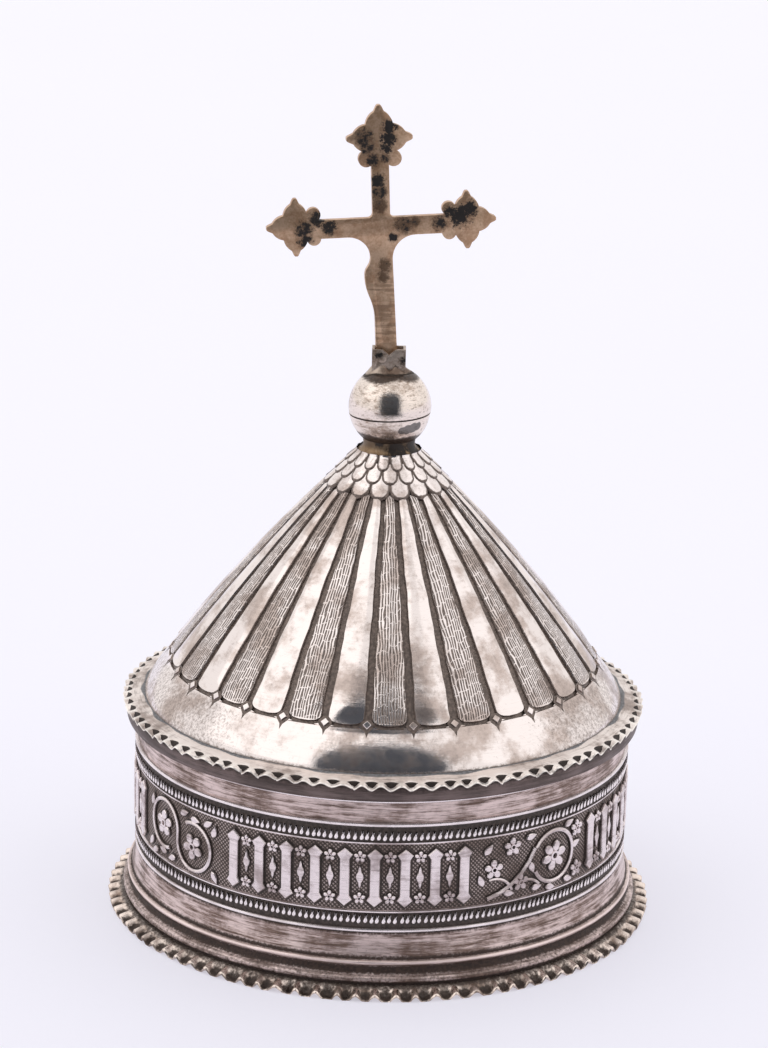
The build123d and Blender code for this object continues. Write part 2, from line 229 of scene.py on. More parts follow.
@dataclass(frozen=True)
class SilverFinish:
    """Worn silver: bright metal, tarnish, turned scratches, specks, grime in the hollows, painted shade and
    painted glints and highlights.
    """

    name: str
    bright: Colour
    dull: Colour
    grime_and_shade: Colour
    roughness: float
    dull_share: float
    scratch: float
    hammer: float
    speckle: float = 0.0
    blotch_scale: float = 0.11
    hatch: float = 0.0
    crosshatch: float = 0.0
    metal: float = 1.0
    spots: tuple[tuple[float, float, float, float], ...] = ()

    def strokes(self, recipe: Recipe) -> Wire:
        """Engraved strokes in broken rows, as dark lines between bright ones.

        Args:
            recipe: The material in the making.

        Returns:
            One in a cut line, nothing between.
        """
        across = recipe.attribute("across")
        along = recipe.attribute("along")
        waver = recipe.noise(recipe.vector(across * 0.5, along * 0.15, 0.0), 1.0, 2.0)
        column = across / 0.54 + waver * 2.4
        number = recipe.math("FLOOR", column)
        shift = recipe.math("FRACT", recipe.math("SINE", number * 12.9898) * 43.758)
        row = along / 2.3 + shift * 0.6 + waver * 1.5
        line = recipe.math("ABSOLUTE", recipe.math("FRACT", column) - 0.5) * 2.0
        cut = 1.0 - recipe.step(line, 0.4, 0.68)
        ends = recipe.math("ABSOLUTE", recipe.math("FRACT", row) - 0.5) * 2.0
        return cut * (1.0 - recipe.step(ends, 0.84, 0.99)) * recipe.attribute("hatch")

    def netting(self, recipe: Recipe, around: Wire, height: Wire) -> Wire:
        """Fine crossed lines over a ground, as cut with a graver.

        Args:
            recipe: The material in the making.
            around: Distance round the drum.
            height: Height on the drum.

        Returns:
            One on a ridge, nothing in a cut.
        """
        wander = recipe.noise(recipe.vector(around, height, 0.0), 0.25, 2.0) * 1.2
        rising = recipe.math("PINGPONG", (around + height) / self.crosshatch + wander, 1.0)
        falling = recipe.math("PINGPONG", (around - height) / self.crosshatch + wander, 1.0)
        return recipe.step(rising, 0.3, 0.8) * recipe.step(falling, 0.2, 0.7)

    def grey_patch(self, recipe: Recipe, place: Wire, fine: Wire) -> Wire:
        """Round spots that run together, with ragged edges.

        Args:
            recipe: The material in the making.
            place: Object coordinates.
            fine: Fine noise that frays the edges.

        Returns:
            One in a spot, nothing outside.
        """
        stray = (fine - 0.5) * 0.5
        shift = recipe.vector(stray, stray, stray)
        strayed = recipe.node("ShaderNodeVectorMath", (place, shift), operation="ADD")
        found: Any = 0.0
        for *middle, reach in self.spots:
            found = recipe.math("MAXIMUM", found, recipe.near(strayed, middle, 0.85 * reach, reach))
        return found

    def make(self) -> bpy.types.Material:
        """Builds the material."""
        recipe = Recipe(self.name)
        place = recipe.place()
        x, y, z = recipe.parts(place)
        turn = recipe.math("ARCTAN2", x, 0.0 - y)
        radius = recipe.math("SQRT", x * x + y * y)
        lines = recipe.noise(recipe.vector(turn * 6.0, z * 1.6, radius * 1.6), 1.0, 6.0, 0.75)
        threads = recipe.noise(recipe.vector(turn * 11.0, z * 6.0, radius * 6.0), 1.0, 3.0, 0.6)
        cloud = recipe.noise(place, self.blotch_scale, 5.0, 0.62)
        fine = recipe.noise(place, 1.7, 4.0, 0.65)
        grime_and_shade = recipe.attribute("grime_and_shade")
        wear_and_highlight = recipe.attribute("wear_and_highlight")
        level = 1.0 - self.dull_share
        mixed = cloud * (1.0 - 0.6 * self.scratch) + lines * (0.6 * self.scratch)
        tarnish = recipe.step(mixed, level - 0.08, level + 0.08)
        colour = recipe.mix(tarnish, self.bright, self.dull)
        scores = recipe.step(threads, 0.57, 0.7) * 0.8
        marks = recipe.math("MAXIMUM", recipe.step(lines, 0.56, 0.66), scores) * self.scratch
        colour = recipe.mix(marks * 0.75, colour, tint(self.dull, 0.38))
        # Painted glints: streaks along the scratches, lighter than the bright metal.
        painted_glints = (1.0 - recipe.step(threads, 0.24, 0.4)) * (0.6 * self.scratch)
        colour = recipe.mix(painted_glints, colour, tint(self.bright, 1.5))
        height = lines * (0.08 * self.scratch) + threads * (0.04 * self.scratch) + fine * 0.012
        if self.hammer:
            height = height + recipe.noise(place, 0.2, 2.0, 0.5) * self.hammer
        if self.speckle:
            mottle = recipe.noise(place, 0.7, 5.0, 0.7) * 0.6 + cloud * 0.4
            spots = recipe.step(mottle, 0.5, 0.66) * self.speckle
            colour = recipe.mix(spots, colour, tint(self.dull, 0.5))
            tarnish = recipe.math("MAXIMUM", tarnish, spots * 0.6)
        if self.spots:
            # Dark grey patch on the front of the lower ball.
            colour = recipe.mix(self.grey_patch(recipe, place, fine) * 0.85, colour, PATCH_GREY)
        # Painted highlight with real wear: lit beads, ridges and rubbed edges are lightened past the bright
        # metal.
        colour = recipe.mix(wear_and_highlight, colour, tuple(min(1.0, 1.1 * c + 0.1) for c in self.bright))
        # Darkening from the mesh's value: real dirt in hollows, cuts and joints, and painted shade under
        # overhangs and on the lid shoulder's sides.
        soil_and_shade = recipe.step(grime_and_shade + (fine - 0.5) * 0.9, 0.28, 0.7)
        dirt_and_shade = recipe.mix(recipe.step(fine, 0.4, 0.62), self.grime_and_shade, tint(self.grime_and_shade, 1.9))
        if self.hatch:
            cut = self.strokes(recipe)
            height = height - cut * 0.1
            soil_and_shade = recipe.math("MAXIMUM", soil_and_shade, cut * self.hatch)
        if self.crosshatch:
            ridge = self.netting(recipe, turn * radius, z)
            height = height + ridge * 0.06
            soil_and_shade = recipe.math("MAXIMUM", soil_and_shade, 1.0 - ridge)
        colour = recipe.mix(soil_and_shade, colour, dirt_and_shade)
        dulled = 0.5 * self.roughness + 0.04
        roughness = self.roughness + tarnish * dulled + soil_and_shade * 0.25 + (fine - 0.5) * (0.5 * self.roughness)
        metallic = self.metal - tarnish * 0.15 - soil_and_shade * (0.55 * self.metal)
        return recipe.surface(colour, roughness, metallic, height, 0.55)


@dataclass(frozen=True)
class GiltFinish:
    """Dull worn gilding with black patches at given places and file marks on the stem."""

    name: str
    gilt: Colour
    pale: Colour
    black: Colour
    patches: tuple[tuple[float, float, float, float, float], ...]
    filed_from: float = 0.0
    filed_to: float = 0.0

    def make(self) -> bpy.types.Material:
        """Builds the material."""
        recipe = Recipe(self.name)
        place = recipe.place()
        x, _, z = recipe.parts(place)
        cloud = recipe.noise(place, 0.35, 5.0, 0.65)
        fine = recipe.noise(place, 2.3, 4.0, 0.65)
        files = recipe.noise(recipe.vector(x * 0.12, 0.0, z * 1.3), 1.0, 3.0, 0.6)
        colour = recipe.mix(recipe.step(cloud * 0.6 + fine * 0.4, 0.38, 0.62), self.gilt, self.pale)
        below = 1.0 - recipe.step(z, self.filed_to - 4.0, self.filed_to)
        filed = recipe.step(z, self.filed_from, self.filed_from + 2.0) * below
        scored = filed * recipe.step(files, 0.44, 0.6) * 0.65
        colour = recipe.mix(scored, colour, tint(self.gilt, 0.5))
        near: Any = 0.0
        burnt: Any = 0.0
        for *middle, reach, burn in self.patches:
            spot = recipe.near(place, middle, 0.1 * reach, 1.25 * reach)
            near = recipe.math("MAXIMUM", near, spot)
            burnt = recipe.math("MAXIMUM", burnt, spot * burn)
        specks = recipe.noise(place, 1.1, 7.0, 0.8)
        scorch = recipe.step(specks + near * 0.4, 0.58, 0.84) * recipe.step(near, 0.02, 0.4)
        soot = recipe.step(specks + burnt * 0.36, 0.69, 0.76) * recipe.step(burnt, 0.05, 0.35)
        colour = recipe.mix(scorch * 0.8, colour, tint(self.gilt, 0.2))
        grime_and_shade = recipe.math("MAXIMUM", soot, recipe.attribute("grime_and_shade") * (0.6 + fine * 0.7))
        grime_and_shade = recipe.math("MINIMUM", grime_and_shade, 1.0)
        colour = recipe.mix(grime_and_shade, colour, self.black)
        # Painted highlight with real wear, where the mesh carries the value.
        colour = recipe.mix(recipe.attribute("wear_and_highlight"), colour, tuple(min(1.0, 1.6 * c) for c in self.pale))
        roughness = 0.4 + (fine - 0.5) * 0.3 + grime_and_shade * 0.15
        metallic = 0.8 - grime_and_shade * 0.5
        height = fine * 0.03 + filed * files * 0.06 + soot * specks * 0.12
        return recipe.surface(colour, roughness, metallic, height, 0.6)


class Bench:
    """Hand operations on meshes: draw a profile, spin it, reshape and finish it."""

    @staticmethod
    def clear() -> None:
        """Leaves edit mode with nothing selected."""
        if bpy.context.mode != "OBJECT":
            bpy.ops.object.mode_set(mode="OBJECT")
        bpy.ops.object.select_all(action="DESELECT")

    @staticmethod
    def draw(name: str, points: Sequence[Point]) -> bpy.types.Object:
        """Draws a line of edges in the XZ plane, one extrude to a point.

        Args:
            name: The new object's name.
            points: Radius and height of each point, in millimetres.

        Returns:
            The object, left in edit mode with its last point selected.
        """
        Bench.clear()
        bpy.ops.mesh.primitive_plane_add(size=MM, location=(0, 0, 0))
        piece = bpy.context.object
        piece.name = name
        piece.data.name = name
        bpy.ops.object.mode_set(mode="EDIT")
        bpy.ops.mesh.merge(type="CENTER")
        here = points[0]
        bpy.ops.transform.translate(value=(here[0] * MM, 0, here[1] * MM))
        for there in points[1:]:
            move = ((there[0] - here[0]) * MM, 0, (there[1] - here[1]) * MM)
            bpy.ops.mesh.extrude_region_move(TRANSFORM_OT_translate={"value": move})
            here = there
        return piece

    @staticmethod
    def spin(name: str, points: Sequence[Point], steps: int) -> bpy.types.Object:
        """Turns a profile about the upright axis.

        Args:
            name: The new object's name.
            points: The profile; a closed one repeats its first point.
            steps: Divisions of the full turn.

        Returns:
            The turned object, in object mode.
        """
        piece = Bench.draw(name, points)
        bpy.ops.mesh.select_all(action="SELECT")
        bpy.ops.mesh.spin(steps=steps, angle=TURN, center=(0, 0, 0), axis=(0, 0, 1))
        bpy.ops.mesh.select_all(action="SELECT")
        bpy.ops.mesh.remove_doubles(threshold=1e-6)
        bpy.ops.mesh.normals_make_consistent(inside=False)
        bpy.ops.object.mode_set(mode="OBJECT")
        return piece

    @staticmethod
    def points(piece: bpy.types.Object) -> np.ndarray:
        """Vertex places in millimetres, one row each."""
        flat = np.empty(len(piece.data.vertices) * 3, np.float32)
        piece.data.vertices.foreach_get("co", flat)
        return flat.reshape(-1, 3).astype(float) / MM

    @staticmethod
    def put(piece: bpy.types.Object, places: np.ndarray) -> None:
        """Moves every vertex to its place in millimetres."""
        piece.data.vertices.foreach_set("co", (places * MM).astype(np.float32).ravel())
        piece.data.update()

    @staticmethod
    def carry(piece: bpy.types.Object, name: str, values: np.ndarray) -> None:
        """Stores one value a vertex for the materials to read."""
        layer = piece.data.attributes.get(name) or piece.data.attributes.new(name, "FLOAT", "POINT")
        layer.data.foreach_set("value", np.asarray(values, np.float32))

    @staticmethod
    def join(name: str, pieces: Sequence[bpy.types.Object]) -> bpy.types.Object:
        """Joins copies into one object.

        Args:
            name: The joined object's name.
            pieces: What to join.

        Returns:
            The joined object.
        """
        Bench.clear()
        for piece in pieces:
            piece.select_set(True)
        bpy.context.view_layer.objects.active = pieces[0]
        if len(pieces) > 1:
            bpy.ops.object.join()
        pieces[0].name = name
        pieces[0].data.name = name
        return pieces[0]

    @staticmethod
    def copy(piece: bpy.types.Object, shape: Callable[[np.ndarray], np.ndarray]) -> bpy.types.Object:
        """Copies a piece with its own mesh and moves the copy's vertices.

        Args:
            piece: The model to copy.
            shape: Takes and gives back places in millimetres.

        Returns:
            The copy.
        """
        double = piece.copy()
        double.data = piece.data.copy()
        bpy.context.scene.collection.objects.link(double)
        Bench.put(double, shape(Bench.points(double)))
        return double

    @staticmethod
    def drop(piece: bpy.types.Object) -> None:
        """Removes a model that has been copied."""
        bpy.data.objects.remove(piece)

    @staticmethod
    def dress(
        piece: bpy.types.Object,
        material: bpy.types.Material,
        body: Body,
        metal: Metal,
        nodes: Sequence[str] = (),
        angle: float = 40.0,
    ) -> None:
        """Shades a piece, gives it its finish and puts it on its body.

        Args:
            piece: The finished mesh.
            material: Its finish.
            body: What it rides on.
            metal: Its metal; not used.
            nodes: Solids that it stands for.
            angle: Edges sharper than this stay sharp.
        """
        Bench.clear()
        piece.select_set(True)
        bpy.context.view_layer.objects.active = piece
        bpy.ops.object.shade_smooth_by_angle(angle=math.radians(angle))
        piece.data.materials.clear()
        piece.data.materials.append(material)
        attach(piece, body.value)
        if nodes:
            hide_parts(*nodes)
        LOG.info("%s: %d faces on %s", piece.name, len(piece.data.polygons), body.value)


def smooth(value: np.ndarray, low: float, high: float) -> np.ndarray:
    """Smooth rise from 0 to 1 between two values."""
    share = np.clip((value - low) / (high - low), 0.0, 1.0)
    return share * share * (3.0 - 2.0 * share)


def bell(value: np.ndarray, middle: float, width: float) -> np.ndarray:
    """Rise to one at a middle value, and fall to nothing on both sides."""
    return np.exp(-(((value - middle) / width) ** 2))


def turn_of(places: np.ndarray) -> np.ndarray:
    """Angle of each point from the front, in radians."""
    return np.arctan2(places[:, 0], -places[:, 1])


def reach_of(places: np.ndarray) -> np.ndarray:
    """Distance of each point from the upright axis."""
    return np.hypot(places[:, 0], places[:, 1])


def ring_places(reach: np.ndarray, turn: np.ndarray, height: np.ndarray) -> np.ndarray:
    """Points at given reaches, angles from the front and heights."""
    return np.column_stack((reach * np.sin(turn), -reach * np.cos(turn), height))


def mirrored(side: Sequence[Point]) -> list[Point]:
    """The left half of an outline, from its right half."""
    return [(-x, y) for x, y in side[::-1]]


def arc(centre: Point, radius: float, start: float, end: float, count: int) -> list[Point]:
    """Points of an arc.

    Args:
        centre: Its centre.
        radius: Its radius.
        start: First angle in degrees, from +X towards +Z.
        end: Last angle in degrees.
        count: Number of points.

    Returns:
        The points in order.
    """
    angles = np.radians(np.linspace(start, end, count))
    return [(centre[0] + radius * math.cos(a), centre[1] + radius * math.sin(a)) for a in angles]


def uneven(
    turn: np.ndarray, strength: float, seed: int, waves: Sequence[int] = (3, 5, 8, 13, 21, 34)
) -> np.ndarray:
    """Slow wander round a turned piece, as a hand leaves it.

    Args:
        turn: Angles in radians.
        strength: Largest wander.
        seed: Picks the phases.
        waves: Waves to the full turn.

    Returns:
        The wander at each angle.
    """
    phases = np.random.default_rng(seed).uniform(0, TURN, len(waves))
    return strength * sum(np.sin(w * turn + p) for w, p in zip(waves, phases)) / math.sqrt(1.5 * len(waves))


def on_drum(radius: float, turn: float, height: float) -> Callable[[np.ndarray], np.ndarray]:
    """Bends flat work onto a cylinder.

    Args:
        radius: The cylinder's radius.
        turn: Angle of the work's middle from the front, in degrees.
        height: Height of the work's middle.

    Returns:
        A shape for Bench.copy: X runs round, Y up and Z outwards.
    """
    def bend(flat: np.ndarray) -> np.ndarray:
        """Places on the cylinder."""
        angle = flat[:, 0] / radius + math.radians(turn)
        reach = radius + flat[:, 2]
        return ring_places(reach, angle, height + flat[:, 1])

    return bend


class FlatWork:
    """Raised work that is drawn flat and laid on a drum or cone afterwards."""

    @staticmethod
    def grown(points: Sequence[Point], margin: float) -> list[Point]:
        """Moves an outline outwards.

        Args:
            points: The outline, anticlockwise.
            margin: How far it moves.

        Returns:
            The wider outline.
        """
        here = np.array(points)
        ahead = np.roll(here, -1, 0) - here
        normal = np.column_stack((ahead[:, 1], -ahead[:, 0])) / np.linalg.norm(ahead, axis=1)[:, None]
        before = np.roll(normal, 1, 0)
        share = np.maximum(1.0 + np.sum(normal * before, axis=1), 0.5)
        return [tuple(p) for p in here + margin * (normal + before) / share[:, None]]

    @staticmethod
    def outline(name: str, points: Sequence[Point]) -> bpy.types.Object:
        """A flat face with a given outline, drawn with a circle's points.

        Args:
            name: The object's name.
            points: The outline, anticlockwise, in millimetres.

        Returns:
            The flat object.
        """
        Bench.clear()
        bpy.ops.mesh.primitive_circle_add(vertices=len(points), radius=MM, fill_type="NGON")
        piece = bpy.context.object
        piece.name = name
        round_places = Bench.points(piece)
        order = np.argsort(np.mod(np.arctan2(round_places[:, 1], round_places[:, 0]) + 1e-6, TURN))
        places = np.zeros((len(points), 3))
        places[order, :2] = np.array(points)
        Bench.put(piece, places)
        return piece

    @staticmethod
    def open_up(piece: bpy.types.Object, bar: float) -> bpy.types.Object:
        """Cuts the middle out of a flat face and leaves a frame."""
        bpy.ops.object.mode_set(mode="EDIT")
        bpy.ops.mesh.select_all(action="SELECT")
        bpy.ops.mesh.inset(thickness=bar * MM)
        bpy.ops.mesh.delete(type="FACE")
        bpy.ops.object.mode_set(mode="OBJECT")
        return piece

    @staticmethod
    def raised(piece: bpy.types.Object, height: float, ease: float = 0.14) -> bpy.types.Object:
        """Raises flat faces into relief with eased upper edges.

        Args:
            piece: The flat object, just drawn.
            height: Height of the relief.
            ease: Width of the eased edge.

        Returns:
            The same object, with its base open.
        """
        bpy.ops.object.mode_set(mode="EDIT")
        bpy.ops.mesh.select_all(action="SELECT")
        bpy.ops.mesh.extrude_region_move(TRANSFORM_OT_translate={"value": (0, 0, height * 0.75 * MM)})
        bpy.ops.mesh.inset(thickness=ease * MM, depth=height * 0.25 * MM)
        bpy.ops.object.mode_set(mode="OBJECT")
        return piece

    @staticmethod
    def relief(name: str, points: Sequence[Point], height: float, margin: float = 0.45) -> bpy.types.Object:
        """A raised outline on the dark ground that was cut round it.

        Args:
            name: The object's name.
            points: The outline, anticlockwise.
            height: Height of the relief.
            margin: Width of the dark ground.

        Returns:
            The joined work.
        """
        ground = FlatWork.outline(name, FlatWork.grown(points, margin))
        flat = Bench.points(ground)
        flat[:, 2] = 0.05
        Bench.put(ground, flat)
        face = FlatWork.raised(FlatWork.outline(name, points), height)
        return Bench.join(name, [face, ground])

    @staticmethod
    def placed(piece: bpy.types.Object, x: float, y: float, turn: float = 0.0) -> bpy.types.Object:
        """Turns and moves flat work within its panel."""
        c, s = math.cos(math.radians(turn)), math.sin(math.radians(turn))
        flat = Bench.points(piece)
        across = c * flat[:, 0] - s * flat[:, 1] + x
        up = s * flat[:, 0] + c * flat[:, 1] + y
        Bench.put(piece, np.column_stack((across, up, flat[:, 2])))
        return piece


@dataclass
class CrimpedRim:
    """A sheet rim pressed between two pegged tools into arches and dents."""

    rim_radius: float
    crimp_length: float = 3.0
    drop: float = 1.4
    count: int = 88
    columns: int = 14
    scallop: float = 0.18
    # Painted shade on the sheet's underside.
    under: float = 0.35
    inner_power: float = 2.6
    edge_power: float = 1.9
    scooped: bool = False
    ridge_from: float = 0.8
    ridge_start: float = 0.2
    hollow_dirt: float = 0.62
    root_dirt: float = 0.0
    edge_wear_and_highlight: float = 1.0
    seed: int = 1

    def press(self, piece: bpy.types.Object, upper: Callable[[np.ndarray, np.ndarray], np.ndarray]) -> None:
        """Presses the dents into a turned piece and notes its dark hollows, the painted shade under it, and
        its worn edge and arch crests, which carry painted highlights.

        Args:
            piece: The turned piece.
            upper: Tells from radius and height which points lie on its upper face.
        """
        places = Bench.points(piece)
        turn, reach = turn_of(places), reach_of(places)
        top = upper(reach, places[:, 2])
        root = self.rim_radius - self.crimp_length
        share = np.clip((reach - root) / self.crimp_length, 0.0, 1.0)
        phase = self.count * (turn + uneven(turn, 0.007, self.seed)) / 2.0
        power = self.inner_power + (self.edge_power - self.inner_power) * share
        arch = 1.0 - np.abs(np.sin(phase)) ** power if self.scooped else np.abs(np.cos(phase)) ** power
        depths = np.random.default_rng(self.seed + 7).uniform(0.72, 1.28, self.count + 2)
        size = depths[np.floor(phase / math.pi + 0.5 + self.count / 2).astype(int) % self.count]
        dent = (1.0 - arch) * smooth(share, 0.05, 0.95 if self.scooped else 0.6)
        places[:, 2] = np.maximum(places[:, 2] - self.drop * size * dent, np.where(top, 0.18, 0.0))
        grown = share * (self.scallop * (2.0 * arch - 1.0) + uneven(turn, 0.1, self.seed + 3))
        places[:, :2] *= np.where(reach > 1.0, 1.0 + grown / np.maximum(reach, 1.0), 1.0)[:, None]
        Bench.put(piece, places)
        edge = smooth(share, 0.94, 0.98)
        hollow = self.hollow_dirt * smooth(dent * size, 0.12, 0.75) * (1.0 - edge)
        hollow = np.maximum(hollow, self.root_dirt * (1.0 - smooth(share, 0.15, 0.6)) * (reach > root - 1.5))
        # Dark hollows on the upper face; painted shade on the underside.
        Bench.carry(piece, "grime_and_shade", np.where(top, hollow, self.under * smooth(reach, 40.0, 50.0)))
        # Painted highlight, with real wear, along the rim's edge and the crests of the arches.
        crest = smooth(arch, self.ridge_from, self.ridge_from + 0.2)
        ridge = smooth(share, self.ridge_start, self.ridge_start + 0.4) * crest
        Bench.carry(piece, "wear_and_highlight", top * np.maximum(self.edge_wear_and_highlight * edge, 0.6 * ridge))


@dataclass
class Box:
    """The drum with its base plate, foot, borders, mouth and bezel."""

    drum_radius: float = 49.1
    wall: float = 0.9
    foot_radius: float = 55.0
    plate_top: float = 1.8
    moulding_top: float = 12.0
    frieze_bottom: float = 16.5
    frieze_top: float = 29.9
    border_height: float = 4.5
    mouth: float = 39.2
    lip_height: float = 1.0
    bezel_top: float = 41.5
    bezel_bottom: float = 31.2
    steps: int = 240
    teeth: int = 270

    def base_plate(self, finish: bpy.types.Material) -> None:
        """The flat disc with its crimped edge."""
        rim = CrimpedRim(
            self.foot_radius - 0.2, inner_power=4.0, edge_power=2.6, ridge_from=0.6,
            ridge_start=0.4, hollow_dirt=0.74, root_dirt=0.62, edge_wear_and_highlight=0.45,
        )
        start, edge = 50.5, rim.rim_radius

        def upper(reach: np.ndarray) -> np.ndarray:
            """Height of the plate's upper face, which rolls down to its edge."""
            return self.plate_top + 0.45 - 0.8 * np.clip((reach - start) / (edge - start), 0, 1) ** 2

        outward = np.linspace(start, edge - 0.15, 17)
        profile = [(0.0, 1.3), (30.0, 1.3), (50.0, 1.3), *[(r, float(upper(r))) for r in outward]]
        low = float(upper(np.array(edge)))
        profile += [(edge, low - 0.2), (edge - 0.1, low - 0.45), (53.9, low - 0.5)]
        profile += [(53.1, 0.6), (52.4, 0.2), (51.6, 0.0), (30.0, 0.0), (0.0, 0.0)]
        piece = Bench.spin("base_sheet", profile, rim.count * rim.columns)
        rim.press(piece, lambda reach, z: z > upper(reach) - 0.1)
        Bench.dress(piece, finish, Body.BOX, Metal.SILVER, ["base_plate"])

    def foot(self, finish: bpy.types.Material) -> None:
        """The turned foot: fascia, bead, cove, bead and a tall cavetto."""
        r, low, high = self.drum_radius, self.plate_top - 0.4, self.moulding_top
        profile = [(r - 0.2, low), (r + 2.35, low), (r + 2.4, 2.0), (r + 2.3, 2.5)]
        profile += arc((r + 2.15, 3.2), 0.72, -60, 80, 11)
        profile += [(r + 1.95, 4.05), (r + 1.5, 4.5), (r + 1.25, 5.0), (r + 1.3, 5.5), (r + 1.5, 5.75)]
        profile += arc((r + 1.52, 6.3), 0.5, -62, 96, 11)
        profile += [(r + 1.2, 6.95), (r + 1.12, 7.3), (r + 0.9, 8.2), (r + 0.62, 9.4), (r + 0.42, 10.6)]
        profile += [(r + 0.32, 11.6), (r + 0.3, high), (r - 0.2, high), (r - 0.2, low)]
        piece = Bench.spin("foot_turned", profile, self.steps)
        z = Bench.points(piece)[:, 2]
        dirt_and_shade = ((2.3, 0.6, 1.0), (3.4, 0.6, 0.35), (4.9, 0.85, 1.0), (7.1, 0.3, 1.0), (11.85, 0.3, 0.9))
        Bench.carry(piece, "grime_and_shade", np.clip(sum(m * bell(z, h, w) for h, w, m in dirt_and_shade), 0, 1))
        # Painted highlights on the upper bead and, fainter, on the lower bead.
        Bench.carry(piece, "wear_and_highlight", bell(z, 6.5, 0.25) + 0.25 * bell(z, 3.7, 0.2))
        Bench.dress(piece, finish, Body.BOX, Metal.SILVER, ["foot_moulding"])

    def drum(self, plain: bpy.types.Material, ground: bpy.types.Material) -> None:
        """The wall: plain zones and the hatched ground of the frieze."""
        r, inner = self.drum_radius, self.drum_radius - self.wall
        heights = [self.plate_top, self.moulding_top, self.frieze_bottom, self.frieze_top]
        heights += [self.frieze_top + self.border_height, self.mouth - self.lip_height, self.mouth]
        start = (inner, self.plate_top)
        profile = [start, *[(r, h) for h in heights], (inner, self.mouth), start]
        piece = Bench.spin("drum_shell", profile, self.steps)
        Bench.dress(piece, plain, Body.BOX, Metal.SILVER, ["drum_wall"])
        piece.data.materials.append(ground)
        for face in piece.data.polygons:
            middle = face.center / MM
            outer = math.hypot(middle.x, middle.y) > r - 0.2
            face.material_index = int(outer and self.frieze_bottom < middle.z < self.frieze_top)

    def border(self, name: str, node: str, outer: float, up: float, finish: bpy.types.Material) -> None:
        """One border: a rounded fillet, a dark hollow, a row of drops and a thin edge line.

        Args:
            name: The piece's name.
            node: The solid that it stands for.
            outer: Height of the edge away from the frieze.
            up: +1 if the frieze is above the border, -1 below.
            finish: Its silver.
        """
        r = self.drum_radius
        shape = [(-0.1, 0.0), (0.3, 0.05), (0.55, 0.25), (0.6, 0.5), (0.5, 0.75), (0.12, 0.9)]
        shape += [(0.05, 1.2), (0.16, 1.7), (0.16, 3.6), (0.04, 3.75), (0.06, 4.0), (0.3, 4.08)]
        shape += [(0.3, 4.32), (-0.1, 4.5), (-0.1, 0.0)]
        profile = [(r + reach, outer + up * height) for reach, height in shape]
        ring = Bench.spin(name, profile, self.steps)
        rise = up * (Bench.points(ring)[:, 2] - outer)
        Bench.carry(ring, "grime_and_shade", smooth(rise, 0.72, 0.92) * (1 - smooth(rise, 4.0, 4.1)))
        # Painted highlights on the rounded fillet and the thin edge line.
        Bench.carry(ring, "wear_and_highlight", 0.8 * bell(rise, 0.45, 0.2) + 0.4 * bell(rise, 4.25, 0.12))
        tooth = self.tooth()
        places = np.random.default_rng(11 if up > 0 else 12)
        pieces = [ring]
        for index in range(self.teeth):
            turn = 360.0 * (index + places.uniform(-0.12, 0.12)) / self.teeth
            middle = outer + up * 2.75 + places.uniform(-0.08, 0.08)
            pieces.append(Bench.copy(tooth, on_drum(r + 0.14, turn, middle)))
        Bench.drop(tooth)
        piece = Bench.join(name, pieces)
        Bench.dress(piece, finish, Body.BOX, Metal.SILVER, [node])

    def tooth(self) -> bpy.types.Object:
        """One slanted drop of the milled band, pointed above and round below, lying flat."""
        side = [(0.05, 0.88), (-0.13, 0.25), (-0.33, -0.2), (-0.34, -0.52), (-0.17, -0.8)]
        slanted = [(x + 0.13 * y, y) for x, y in [*side, *mirrored(side)]]
        tooth = FlatWork.raised(FlatWork.outline("drop", slanted), 0.4, 0.12)
        rise = Bench.points(tooth)[:, 2]
        # Painted highlight on the tops of the drops.
        Bench.carry(tooth, "wear_and_highlight", smooth(rise, 0.15, 0.35))
        Bench.carry(tooth, "grime_and_shade", 1 - smooth(rise, 0.1, 0.3))
        return tooth

    def lip(self, finish: bpy.types.Material) -> None:
        """The half-round wire round the mouth."""
        r, h = self.drum_radius, self.mouth
        profile = [(r - 0.1, h - 1.0), *arc((r, h - 0.5), 0.5, -80, 80, 9), (r - 0.1, h), (r - 0.1, h - 1.0)]
        piece = Bench.spin("lip_round", profile, self.steps)
        rise = Bench.points(piece)[:, 2]
        # Painted highlight along the wire's upper half.
        Bench.carry(piece, "wear_and_highlight", smooth(rise, h - 0.8, h - 0.5))
        Bench.carry(piece, "grime_and_shade", 1 - smooth(rise, h - 1.0, h - 0.85))
        Bench.dress(piece, finish, Body.BOX, Metal.SILVER, ["lip_wire"])

    def bezel(self, finish: bpy.types.Material) -> None:
        """The collar inside the mouth, with an eased top edge."""
        r = self.drum_radius - self.wall
        low, high = self.bezel_bottom, self.bezel_top
        profile = [(r - 0.8, low), (r, low), (r, high - 0.3), (r - 0.25, high), (r - 0.6, high)]
        profile += [(r - 0.8, high - 0.2), (r - 0.8, low)]
        piece = Bench.spin("bezel_collar", profile, self.steps)
        Bench.dress(piece, finish, Body.BOX, Metal.SILVER, ["bezel"])


